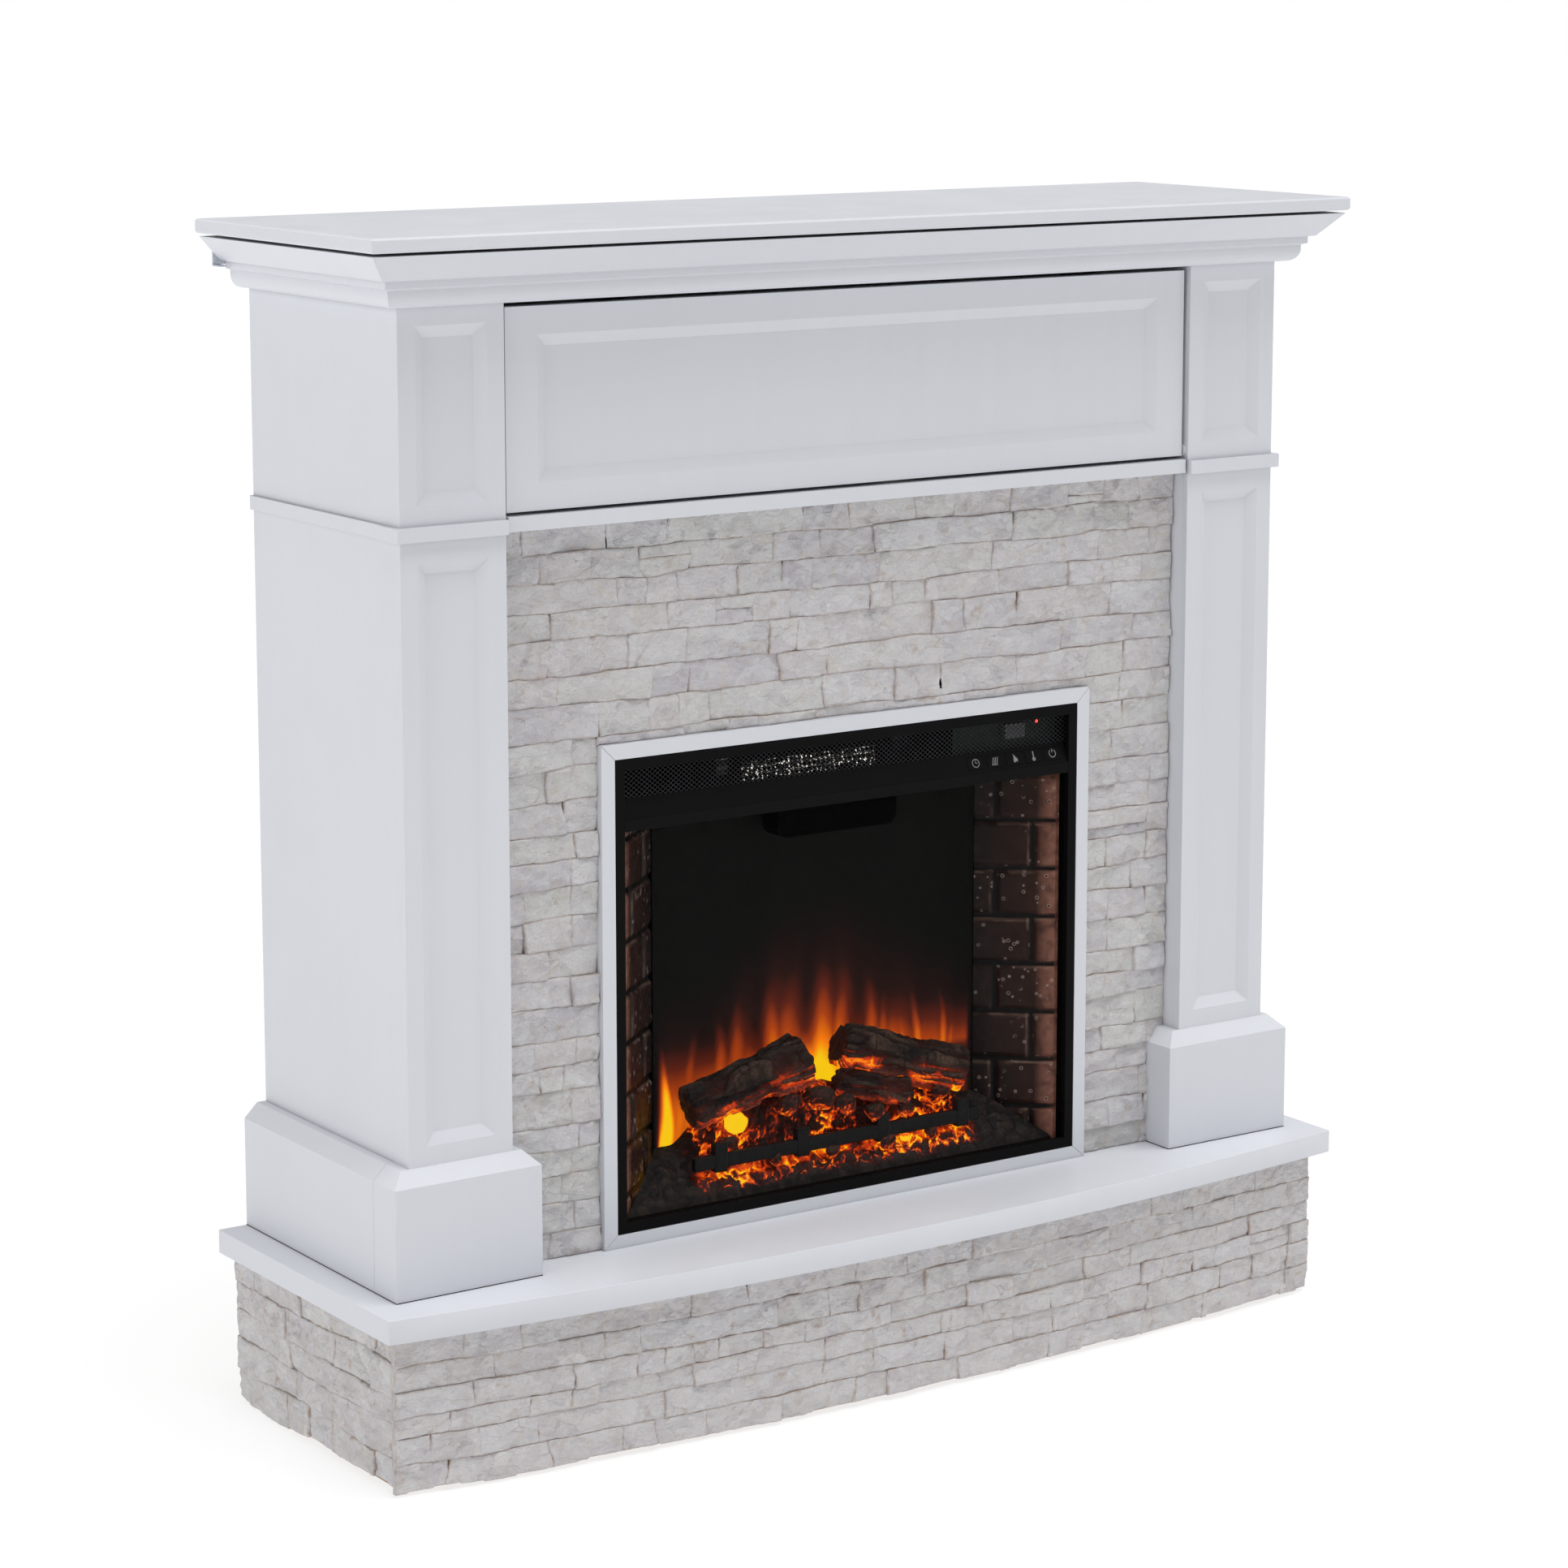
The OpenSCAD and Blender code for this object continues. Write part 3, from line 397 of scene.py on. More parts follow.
def stone():
    """Whitewashed split stone: pale lilac, cream and grey stones with brown wash left in the joints."""
    p = Paint("whitewashed_stone", Specular_IOR_Level=0.15)
    p.colour(p.stops(
        p.value("tint"),
        (0.0, (0.545, 0.522, 0.575)),
        (0.3, (0.620, 0.605, 0.610)),
        (0.55, (0.655, 0.655, 0.625)),
        (0.8, (0.640, 0.592, 0.600)),
        (1.0, (0.690, 0.690, 0.725)),
    ))
    for noise, low, high, tone in (
        ((38.0, 6.0, (1.0, 1.0, 1.6), 0.6), 0.35, 0.65, (0.745, 0.745, 0.755)),
        ((55.0, 5.0, (1.0, 1.0, 1.4), 0.6), 0.50, 0.74, (0.545, 0.500, 0.560)),
        ((70.0, 5.0), 0.54, 0.76, (0.620, 0.540, 0.430)),
    ):
        p.over(p.patchy(noise, low, high, 0.0, 0.6), tone)
    big, shade, border = p.shards(34.0)
    small, fleck, rim = p.shards(105.0)
    p.over(p.range(shade, 0.1, 0.9, 0.0, 0.40), (0.825, 0.825, 0.83))
    p.over(p.range(fleck, 0.0, 0.6, 0.20, 0.0), (0.49, 0.455, 0.48))
    broken = p.patchy((24.0, 4.0), 0.55, 0.68)
    p.over(p.times(p.range(border, 0.0, 0.035, 0.5, 0.0), broken), (0.44, 0.35, 0.30))
    # the rims of the small facets are made paler: a painted highlight, with some whitewash on the crests
    crest = p.times(p.range(rim, 0.0, 0.08, 0.5, 0.0), p.patchy((60.0, 4.0), 0.54, 0.66))
    p.over(crest, (0.87, 0.865, 0.86))
    p.over(p.patchy((620.0, 6.0, (1, 1, 1), 0.7), 0.35, 0.62, 0.34, 0.0), (0.45, 0.425, 0.43))
    wash = p.noise(160.0, 5.0)
    p.over(p.times(p.value("edge"), p.range(wash, 0.35, 0.65, 0.1, 1.0)), (0.48, 0.365, 0.285))
    p.over(p.times(p.value("crack"), p.patchy((120.0, 4.0), 0.3, 0.65)), (0.36, 0.27, 0.225))
    p.over(p.value("joint"), (0.34, 0.235, 0.18))
    pits = p.range(p.spots(190.0), 0.0, 0.10, 1.0, 0.0)
    p.over(p.times(pits, p.patchy((30.0, 3.0), 0.55, 0.65)), (0.22, 0.16, 0.13))
    p.rough(p.range(wash, 0.3, 0.7, 0.72, 0.9))
    p.bump(p.noise(430.0, 6.0, (1, 1, 1), 0.75), 0.8, 0.0015)
    p.bump(p.noise(120.0, 6.0, (1.0, 1.0, 1.5), 0.65), 0.6, 0.0026)
    p.bump(big, 1.0, 0.0085)
    p.bump(small, 0.9, 0.0028)
    p.bump(pits, 0.4, -0.0006)
    return p.material


def stage_floor():
    p = Paint("pale_floor", Specular_IOR_Level=0.0)
    p.colour(p.mix(p.noise(0.6, 3.0), 0.24, 0.26))
    p.lit(1.0, 0.76)
    p.rough(0.9)
    return p.material


def burning(name, dark, brown, ash):
    """Charred resin lit from inside: the glow value goes from black through red and orange to yellow."""
    p = Paint(name, Specular_IOR_Level=0.15)
    flicker = p.patchy((330.0, 5.0, (1, 1, 1), 0.65), 0.3, 0.7, 0.55, 1.3)
    p.lit(p.stops(
        p.times(p.value("glow"), flicker),
        (0.0, (0.0, 0.0, 0.0)),
        (0.16, (0.05, 0.004, 0.001)),
        (0.38, (0.55, 0.038, 0.003)),
        (0.62, (1.0, 0.16, 0.003)),
        (0.84, (1.0, 0.37, 0.004)),
        (1.0, (1.0, 0.62, 0.008)),
    ))
    p.colour(p.mix(p.patchy((120.0, 5.0), 0.3, 0.7), dark, brown))
    p.over(p.times(p.value("lift"), p.patchy((330.0, 4.0), 0.3, 0.65, 0.35, 1.0)), ash)
    p.rough(p.patchy((90.0, 4.0), 0.3, 0.7, 0.5, 0.75))
    p.bump(p.noise(700.0, 4.0), 0.5, 0.0004)
    return p.material


def flame_picture():
    """The picture of flames on the smoked screen."""
    p = Paint("flame_picture", Specular_IOR_Level=0.05, Roughness=0.6)
    p.colour(p.mix(p.noise(30.0, 3.0), (0.004, 0.0038, 0.0035), (0.006, 0.0055, 0.005)))
    p.lit(p.stops(
        p.value("fire"),
        (0.0, (0.0, 0.0, 0.0)),
        (0.14, (0.016, 0.0030, 0.0018)),
        (0.34, (0.105, 0.0125, 0.0042)),
        (0.56, (0.40, 0.050, 0.004)),
        (0.78, (0.98, 0.205, 0.003)),
        (1.0, (1.0, 0.60, 0.006)),
    ))
    p.bump(p.noise(500.0, 2.0), 0.05, 0.0001)
    return p.material


def bronzed_brick():
    """Bronzed resin bricks with dark mortar and small pits; painted light near the front, painted shade towards
    the back, painted highlights on pit rims and brick edges.
    """
    p = Paint("bronzed_brick", Specular_IOR_Level=0.12)
    deep = p.value("deep")
    mottle = p.patchy((45.0, 5.0), 0.3, 0.7)
    # painted light and shade: the bronze is bright near the front opening and goes dark brown, then near black,
    # towards the back
    lit_bronze = p.mix(mottle, (0.21, 0.085, 0.058), (0.30, 0.135, 0.095))
    brown = p.mix(mottle, (0.018, 0.0062, 0.0042), (0.036, 0.0138, 0.0092))
    p.colour(p.mix(p.range(deep, 0.06, 0.24), lit_bronze, brown))
    p.over(p.range(deep, 0.30, 0.95), (0.010, 0.0052, 0.0042))
    p.over(p.patchy((85.0, 5.0), 0.45, 0.7, 0.0, 0.6), (0.022, 0.011, 0.008))
    dots = p.spots(105.0)
    chosen = p.patchy((33.0, 2.0), 0.45, 0.52)
    # painted highlight: a pale ring round each chosen pit
    rim = p.times(p.range(dots, 0.10, 0.16), p.range(dots, 0.19, 0.26, 1.0, 0.0))
    p.over(p.times(p.times(rim, chosen), 0.55), (0.42, 0.33, 0.29))
    # painted shade: the inside of each chosen pit is darkened
    pit = p.times(p.range(dots, 0.08, 0.15, 1.0, 0.0), chosen)
    p.over(pit, (0.010, 0.006, 0.005))
    p.over(p.times(p.value("glint"), 0.5), (0.34, 0.22, 0.17))
    p.over(p.value("joint"), (0.0025, 0.002, 0.002))
    p.rough(p.patchy((160.0, 4.0), 0.3, 0.7, 0.3, 0.55))
    p.bump(p.noise(600.0, 4.0), 0.35, 0.0004)
    p.bump(pit, 0.8, -0.0012)
    return p.material


def glowing(name, colour, strength):
    p = Paint(name, Roughness=0.4)
    p.colour(p.mix(p.noise(900.0, 2.0), colour, tuple(c * 0.9 for c in colour)))
    p.lit(colour, strength)
    return p.material


def sparkling_wire():
    """Bright resistance wire that catches the light in points."""
    p = Paint("resistance_wire", Metallic=0.9)
    glitter = p.patchy((300.0, 4.0, (1, 1, 1), 0.6), 0.55, 0.60)
    # painted highlights: the glitter points are paler and glow, standing in for glints of light on the wire
    p.colour(p.mix(glitter, (0.030, 0.028, 0.025), (0.80, 0.78, 0.72)))
    p.lit(p.mix(glitter, (0.004, 0.0038, 0.0034), (1.5, 1.43, 1.3)))
    p.rough(p.patchy((90.0, 3.0), 0.3, 0.7, 0.2, 0.4))
    return p.material


def glass():
    p = Paint("smoked_glass", Specular_IOR_Level=0.08, Alpha=0.04)
    smear = p.noise(9.0, 4.0, (1.0, 1.0, 0.5))
    p.colour(p.mix(smear, (0.010, 0.010, 0.011), (0.016, 0.016, 0.017)))
    p.rough(p.range(smear, 0.3, 0.7, 0.02, 0.06))
    p.bump(p.noise(3.0, 2.0), 0.02, 0.0005)
    return p.material


FINISH = {
    "white_paint": white_paint(),
    "raw_board": raw_board(),
    "stone": stone(),
    "smoked_glass": glass(),
    "brick_resin": bronzed_brick(),
    "log_resin": burning(
        "charred_bark", (0.0030, 0.0018, 0.0014), (0.0095, 0.0058, 0.0044), (0.112, 0.063, 0.043)),
    "ember_resin": burning(
        "ember_resin", (0.0030, 0.0023, 0.0020), (0.0085, 0.0062, 0.0052), (0.027, 0.018, 0.0145)),
}
FINISH["nylon"] = plain("nylon_white", (0.70, 0.69, 0.66), (0.78, 0.77, 0.74), 60.0, 700.0,
                        (0.85, 0.84, 0.82), (0.4, 0.55), Subsurface_Weight=0.1)
# slot, then plain's values: name, dark, light, patch, grain, wear, rough, gloss, metal, bump, depth, stretch
for slot, *values in (
    ("black_steel", "black_steel", (0.0025, 0.0024, 0.0028), (0.0045, 0.0043, 0.0048), 12.0, 900.0,
     (0.035, 0.034, 0.037), (0.45, 0.6), 0.06, 0.0, 0.2),
    ("black_plastic", "black_plastic", (0.0030, 0.0029, 0.0034), (0.0050, 0.0048, 0.0054), 14.0, 1200.0,
     (0.03, 0.03, 0.033), (0.5, 0.65), 0.07, 0.0, 0.35),
    ("mesh_steel", "mesh_steel", (0.010, 0.0095, 0.011), (0.026, 0.025, 0.029), 60.0, 700.0,
     (0.06, 0.06, 0.064), (0.4, 0.6), 0.12),
    ("zinc_steel", "zinc_plate", (0.52, 0.55, 0.60), (0.68, 0.71, 0.76), 50.0, 600.0,
     0.8, (0.28, 0.45), 0.5, 0.9),
    ("aluminium", "aluminium_sheet", 0.62, 0.78, 45.0, 500.0,
     0.85, (0.25, 0.42), 0.5, 0.95, 0.15, 0.0002, (1.0, 0.1, 1.0)),
    ("circuit_board", "circuit_board", (0.004, 0.010, 0.006), (0.008, 0.020, 0.012), 120.0, 500.0,
     (0.10, 0.09, 0.05), (0.4, 0.6), 0.2),
    ("display_lens", "display_lens", (0.050, 0.050, 0.056), (0.080, 0.080, 0.088), 50.0, 900.0,
     (0.05, 0.05, 0.055), (0.12, 0.3)),
    ("rubber_feet", "rubber_black", 0.012, 0.025, 60.0, 800.0, 0.06, (0.7, 0.9)),
    ("grate_iron", "grate_iron", (0.0022, 0.0020, 0.0020), (0.0055, 0.0048, 0.0046), 90.0, 500.0,
     (0.03, 0.024, 0.02), (0.45, 0.7), 0.18, 0.0, 0.6, 0.0005),
    ("near_black", "near_black_cover", 0.0008, (0.0016, 0.0015, 0.0015), 30.0, 800.0, 0.006, (0.8, 0.95), 0.02),
    ("felt", "black_felt", 0.003, 0.009, 80.0, 900.0, 0.02, (0.85, 0.95), 0.05, 0.0, 0.6, 0.0005),
):
    FINISH[slot] = plain(*values)
FINISH["screen_plastic"] = FINISH["black_plastic"]

# ---------------------------------------------------------------- CAD nodes that keep their own mesh

# parts given the near-black finish, darker than the black plastic
NEAR_BLACK_NODES = ("heat_deflector", "heater_element")
ROUNDING = dict.fromkeys(("white_paint", "raw_board"), 0.5 * MM) | dict.fromkeys(
    ("black_steel", "black_plastic", "screen_plastic", "zinc_steel", "aluminium", "grate_iron"), 0.4 * MM)


def soften(node, width, segments=2):
    """Rounds the hard edges of a node a little, as paint or pressing leaves them."""
    new = node.modifiers.new
    settle(new("weld", "WELD"), merge_threshold=2e-6)
    settle(new("flat", "DECIMATE"), decimate_type="DISSOLVE", angle_limit=math.radians(0.8))
    settle(new("bevel", "BEVEL"), width=width, segments=segments, limit_method="ANGLE",
           angle_limit=math.radians(28), harden_normals=True, use_clamp_overlap=True)


def dress_nodes():
    slots = {row["node"]: row["material_slot"] for row in frame["record"]["subparts"]}
    for name, node in nodes.items():
        slot = "near_black" if name in NEAR_BLACK_NODES else slots[name]
        node.data.materials.clear()
        node.data.materials.append(FINISH[slot])
        if slot in ROUNDING and not name.startswith("plinth"):
            soften(node, ROUNDING[slot])


dress_nodes()


def plinth_painted_shadow():
    """A fine near-black strip where each plinth stands on the hearth: a painted contact shadow."""
    shape = Shape()
    rise = np.array([0, 0, 0.45 * MM])
    for name in ("plinth_left", "plinth_right"):
        mesh = nodes[name].data
        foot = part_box(name)[0].z
        for face in mesh.polygons:
            corners = [np.array(mesh.vertices[i].co) for i in face.vertices]
            out = np.array(face.normal)
            for a, b in zip(corners, corners[1:] + corners[:1]):
                low_edge = max(a[2], b[2]) < foot + 0.01 * MM
                if abs(out[2]) < 0.1 and low_edge and np.linalg.norm(b - a) > 2 * MM:
                    # painted shade: a thin dark strip standing in for the shadow line under the plinth
                    shape.bar(a + rise, b + rise, out * 0.12 * MM, rise)
    shape.build("plinth_painted_shadow", "black_plastic", FINISH["near_black"], smooth_faces=False)


plinth_painted_shadow()

# ---------------------------------------------------------------- stone veneer


def course_lines(low, high, height, rng):
    """The heights between courses of about the given height."""
    count = max(1, round((high - low) / height))
    sizes = height * (0.82 + 0.36 * rng.random(count))
    return low + (high - low) * np.concatenate([[0], np.cumsum(sizes) / sizes.sum()])


def spans(x0, x1, height, rng):
    """The stones of one course as (start, end) pairs."""
    ends, x = [x0], x0
    while x1 - x > 2.2 * height:
        size = height * rng.choice([1.0, 1.6, 2.2, 2.9, 3.7, 4.8], p=[0.16, 0.24, 0.23, 0.19, 0.12, 0.06])
        x = min(x + size * (0.85 + 0.3 * rng.random()), x1 - 0.9 * height)
        ends.append(x)
    ends.append(x1)
    return list(zip(ends[:-1], ends[1:]))


def steps_along(length, cell):
    """Grid lines from 0 to length, closer together at both ends."""
    rim = [0.0, 0.5 * MM, 1.3 * MM, 2.4 * MM]
    inner = np.linspace(3.8 * MM, length - 3.8 * MM, max(2, int((length - 7.6 * MM) / cell) + 1))
    return np.concatenate([rim, inner, [length - r for r in reversed(rim)]])


def around(grid):
    """The values along the four sides of a grid, once round."""
    return np.concatenate([grid[0], grid[1:, -1], grid[-1, -2::-1], grid[-2:0:-1, 0]])


def lay_stone(shape, place, left, right, bottom, top, low_line, high_line, style, rng):
    """One split-faced stone between two wavy course lines; place turns (x, height, depth) into a point."""
    seed = int(rng.integers(1 << 16))
    width, height = right - left, top - bottom
    ragged = style["ragged"](left), style["ragged"](right)
    u = steps_along(width, style["cell"]) / width
    v = steps_along(height, style["cell"]) / height if height > 12 * MM else np.linspace(0, 1, 8)
    gu, gv = np.meshgrid(u, v)
    gap = 0.1 * MM
    slant = rng.normal(0, 2.4 * MM, 2)
    x = left + gap + gu * (width - 2 * gap)
    wander = 1.0 * MM + 1.5 * MM * fbm(gv * 2.6 + seed, seed * 0.37, 0, 3, 4)
    x += (1 - gu) * (slant[0] * (gv - 0.5) - wander) * ragged[0]
    x += gu * (slant[1] * (gv - 0.5) + wander) * ragged[1]
    z0, z1 = low_line(x) + gap, high_line(x) - gap
    z = z0 + gv * (z1 - z0)

    def rough(fx, fz, layer, octaves=3):
        return fbm(x * fx, z * fz, 0, seed + layer, octaves)

    # the leaning face, then up to four planes that split it
    lift = style["relief"] * rng.random() ** 0.8
    depth = lift + rng.normal(0, 1.0 * MM) * (gu - 0.5) + rng.normal(0, 1.1 * MM) * (gv - 0.5)
    warp = 6.0 * MM * rough(32, 32, 0, 4)
    crack = np.zeros_like(x)
    for _ in range(int(rng.choice([1, 2, 3, 4]))):
        angle = rng.uniform(0.15, 1.45) * rng.choice([-1, 1])
        px, pz = rng.uniform(left, right), rng.uniform(bottom, top)
        line = (x - px) * math.sin(angle) - (z - pz) * math.cos(angle) + warp
        drop = rng.uniform(0.5, 1.7) * MM
        side = rng.choice([-1, 1])
        depth -= drop * smooth(0.5 + side * line / (1.4 * MM))
        slope = lift + 0.8 * MM - np.minimum(rng.uniform(0.04, 0.20) * np.maximum(0, side * line), 2.4 * MM)
        depth = np.minimum(depth, slope)
        broken = np.clip(rough(30, 30, 2, 2) + 0.4, 0, 1)
        crack = np.maximum(crack, peak(line, 0, 0.7 * MM) * broken * rng.uniform(0.1, 0.7))

    # sharp crests and grain
    sway = 0.35 * rough(50, 50, 4)
    arris = 1 - np.abs(fbm(x * 26 + seed + sway, z * 42 + sway, 0, seed + 5, 4))
    depth += 2.1 * MM * (arris - 0.75)
    depth += 0.55 * MM * fbm(x * 75 + z * 30, z * 95, 0, seed + 9, 4)
    depth += 0.40 * MM * rough(200, 220, 13)

    # chipped rims and the dirt left on them
    reach = np.minimum(np.minimum(gu, 1 - gu) * width, np.minimum(gv, 1 - gv) * height)
    tail = np.minimum(gu, 1 - gu) * width
    chip = 1.0 * MM * (1 + 1.3 * rough(110, 110, 17))
    fall = fade(reach / (np.maximum(chip, 0) + 0.6 * MM), 0, 1)
    depth = depth - 0.9 * MM * fall**1.5 - 0.7 * MM * fade(tail, 0, 1.8 * MM)
    depth = np.clip(depth + style["base"], style["least"], style["most"])
    edge = fade(reach / (1.3 * MM + 1.3 * MM * rough(60, 60, 21)), 0, 1)
    edge = np.maximum(edge, 1.3 * fade(tail, 0, 1.9 * MM))
    pale, pink = style["tints"]
    tint = pale + (pink - pale) * rng.random()
    shape.grid(place(x, z, depth), {"tint": tint, "edge": edge * style["wash"], "crack": crack, "joint": 0.0})

    # the stone's four sides, back to the board
    rim = [around(x), around(z), around(depth)]
    walls = np.stack([place(rim[0], rim[1], rim[2] * share) for share in (0.0, 0.55, 0.999)])
    bare = 1.0 if all(ragged) else 0.25
    joint = bare * np.repeat([[0.75], [0.2], [0.0]], len(rim[0]), axis=1)
    shape.grid(walls, {"tint": tint, "edge": bare * style["wash"], "crack": 0.0, "joint": joint}, closed_u=True)


def stone_wall(shape, place, x0, x1, low, high, style, rng, opening=None):
    """Courses of stone from x0 to x1 and low to high, with an optional (half width, top) opening."""
    lines = course_lines(low, high, style["course"], rng)

    def course(k):
        """The line under course k: the first is the wall's foot and the last is its straight top."""
        if k == 0:
            return lambda x: lines[0] + style["foot"](x)
        if k == len(lines) - 1:
            return lambda x: lines[k] + 0 * x
        return lambda x: lines[k] + style["wave"] * fbm(x * 12, k * 3.3, 0, 31, 4)

    for k in range(len(lines) - 1):
        bottom, top = lines[k], lines[k + 1]
        parts = [(x0, x1, course(k), bottom)]
        if opening is not None and bottom < opening[1]:
            half, roof = opening
            parts = [(x0, -half, course(k), bottom), (half, x1, course(k), bottom)]
            if top > roof + 4 * MM:
                parts.append((-half, half, lambda x: roof + 0 * x, roof))
        for left, right, low_line, base in parts:
            for a, b in spans(left, right, style["length"] * max(top - base, 0.7 * style["course"]), rng):
                if top - base > 0.8 * style["course"] and rng.random() < style["split"]:
                    cut = base + (top - base) * rng.uniform(0.35, 0.65)
                    middle = lambda x, c=cut: c + 0.8 * MM * fbm(x * 20, c * 50, 0, 41, 3)
                    lay_stone(shape, place, a, b, base, cut, low_line, middle, style, rng)
                    lay_stone(shape, place, a, b, cut, top, middle, course(k + 1), style, rng)
                else:
                    lay_stone(shape, place, a, b, base, top, low_line, course(k + 1), style, rng)


def backing(shape, place, x0, x1, low, high, depth, opening=None):
    """The dark bed that shows between the stones."""
    bands = [(x0, x1, low, high)]
    if opening is not None:
        half, roof = opening
        bands = [(x0, -half, low, roof), (half, x1, low, roof), (x0, x1, roof, high)]
    for a, b, c, d in bands:
        gx, gz = np.meshgrid(np.linspace(a, b, 60), np.linspace(c, d, 12))
        shape.grid(place(gx, gz, np.full_like(gx, depth)), {"tint": 0.5, "joint": 1.0})


def inside(*limits):
    """Ragged stone ends everywhere except at the given straight limits."""
    return lambda x: 0.0 if min(abs(x - limit) for limit in limits) < 1e-6 else 1.0


def millimetres(**sizes):
    """The sizes in metres."""
    return {key: size * MM for key, size in sizes.items()}


def face_wall():
    low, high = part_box("stone_face")
    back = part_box("face_board")[0].y
    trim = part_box("surround_frame")[1]
    place = lambda x, z, d: xyz(x, back - d, z)
    style = {
        "tints": (0.0, 1.0), "length": 1.1, "wash": 0.6, "split": 0.03, "foot": lambda x: 0.2 * MM + 0 * x,
        "ragged": inside(low.x, high.x, -trim.x, trim.x),
        **millimetres(cell=3.3, course=30.4, relief=3.0, base=10.2, least=7.5, most=15.8, wave=2.6),
    }
    shape, rng = Shape(), np.random.default_rng(11)
    opening = (trim.x + 0.2 * MM, trim.z + 0.2 * MM)
    stone_wall(shape, place, low.x, high.x, low.z, high.z, style, rng, opening)
    backing(shape, place, low.x, high.x, low.z, high.z, 6 * MM, opening)
    shape.build("stone_face_courses", "stone", replaces="stone_face")


def base_walls():
    """The bowed front of the base, then its two straight sides."""
    low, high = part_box("base_stone_front")
    side_low, side_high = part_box("base_stone_sides")
    half, thick = high.x, 12 * MM
    bow = (side_low.y - 2 * MM - thick) - low.y
    radius = (half**2 + bow**2) / (2 * bow)

    def place(x, z, d):
        angle, reach = x / radius, radius - thick + d
        return xyz(reach * np.sin(angle), low.y + radius - reach * np.cos(angle), z)

    arc = radius * math.asin((half - 0.4 * MM) / radius)
    chips = lambda x: 1.5 * MM + 1.8 * MM * np.round(fbm(x * 11, 5, 0, 3, 2) * 1.5)
    style = {
        "tints": (0.68, 0.92), "length": 1.35, "wash": 0.75, "split": 0.03, "ragged": inside(-arc, arc),
        "foot": lambda x: np.maximum(chips(x), 0.1 * MM),
        **millimetres(cell=2.6, course=27.2, relief=2.6, base=9.0, least=6.0, most=12, wave=2.4),
    }
    shape, rng = Shape(), np.random.default_rng(23)
    stone_wall(shape, place, -arc, arc, low.z, high.z, style, rng)
    backing(shape, place, -arc, arc, low.z + 4 * MM, high.z, 5 * MM)
    shape.build("base_front_courses", "stone", replaces="base_stone_front")

    shape, rng = Shape(), np.random.default_rng(37)
    for sign in (-1, 1):
        along = lambda x, z, d, s=sign: xyz(s * (half - (thick - d)), s * x, z)
        ends = sorted((sign * (side_low.y - 1.7 * MM), sign * side_high.y))
        wavy = lambda x, s=sign: np.clip(5.5 * MM + 7 * MM * fbm(x * 7 + s, 2, 0, 8, 3), 0.2 * MM, 16 * MM)
        style = {
            "tints": (0.62, 0.92), "length": 1.3, "wash": 0.85, "split": 0.02, "ragged": inside(*ends),
            "foot": wavy,
            **millimetres(cell=2.6, course=31, relief=2.8, base=8.4, least=5.0, most=12, wave=4.5),
        }
        stone_wall(shape, along, *ends, side_low.z, side_high.z, style, rng)
        backing(shape, along, *ends, side_low.z + 17 * MM, side_high.z, 3.4 * MM)
    shape.build("base_side_courses", "stone", replaces="base_stone_sides")


face_wall()
base_walls()

# ---------------------------------------------------------------- firebox


def brick_sides():
    """Two splayed side walls of brick relief."""
    low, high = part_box("brick_panels")
    screen_low, screen_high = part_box("flame_screen")
    front = np.array([high.x - 5.7 * MM, low.y])
    across = np.array([screen_high.x + 1.5 * MM, screen_low.y]) - front
    run = np.linalg.norm(across)
    inward = np.array([-across[1], across[0]]) / run
    inward = inward if inward[0] < 0 else -inward
    course, groove = 54 * MM, 3.3 * MM
    gu, gz = np.meshgrid(np.linspace(0, run, 46), np.linspace(low.z, high.z, 210))
    shape = Shape()
    for sign, shift in ((1, 14 * MM), (-1, 26 * MM)):
        wobble = 0.5 * MM * fbm(gu * 60, gz * 60, sign, 4, 3)
        row, below = np.divmod(gz - low.z + shift, course)
        split = np.where(row % 2 == 0, 0.28, 0.74) * run
        from_split = np.abs(gu - split)
        gap = np.minimum(np.minimum(below, course - below), from_split) + wobble
        joint = fade(gap, 0.55 * groove, 1.0 * groove)
        top = peak((course - below + wobble) / groove, 1.35, 0.28)
        end = np.exp(-(((from_split + wobble) / groove - 1.35) ** 2) / 0.05) * (gu > split)
        glint = np.clip(top + 0.7 * end, 0, 1) * ramp(fbm(gu * 50, gz * 50, sign, 8, 3), -0.5, 0.4)
        depth = 3.2 * MM * ramp(gap, 0.3 * groove, 2.2 * groove)
        depth = depth + 0.35 * MM * fbm(gu * 130, gz * 130, sign, 6, 4) - 3.4 * MM
        flat = front + across * (gu / run)[..., None] + inward * depth[..., None]
        points = xyz(sign * flat[..., 0], flat[..., 1], gz)
        # the share along the wall sets the bricks' painted light and shade; glint marks painted highlights
        # along brick edges
        shape.grid(points, {"deep": gu / run, "joint": joint, "glint": glint}, flip=sign < 0)
        outer = xyz(sign * (flat[..., 0] + 5.4 * MM), flat[..., 1] + 1.0 * MM, gz)
        shape.grid(outer[:, [0, -1]], {"deep": 0.5, "joint": 0.5}, flip=sign > 0)
        lip = np.stack([points[:, 0], outer[:, 0]], axis=1)
        shape.grid(lip, {"deep": 0.02, "joint": joint[:, :1] * 0.5}, flip=sign > 0)
        for end_row, flip in ((0, sign > 0), (-1, sign < 0)):
            shape.grid(np.stack([points[end_row], outer[end_row]]), {"deep": 0.6, "joint": 0.3}, flip=flip)
    shape.build("brick_relief", "brick_resin", replaces="brick_panels")


# places inside the firebox in mm, across it or above the floor
FLAME_FOOT, LEFT_FLAME_FOOT = 296, 262
BRIGHT_HOLE_X, BRIGHT_HOLE_Z = -116, 285
GRATE_BAR, GRATE_LUGS = 256, (-154, -49, 56, 163)
HEATER_RODS = (651, 658, 665)
VENT_HALF_WIDTH, VENT_LOW, VENT_HIGH = 232, 641, 694

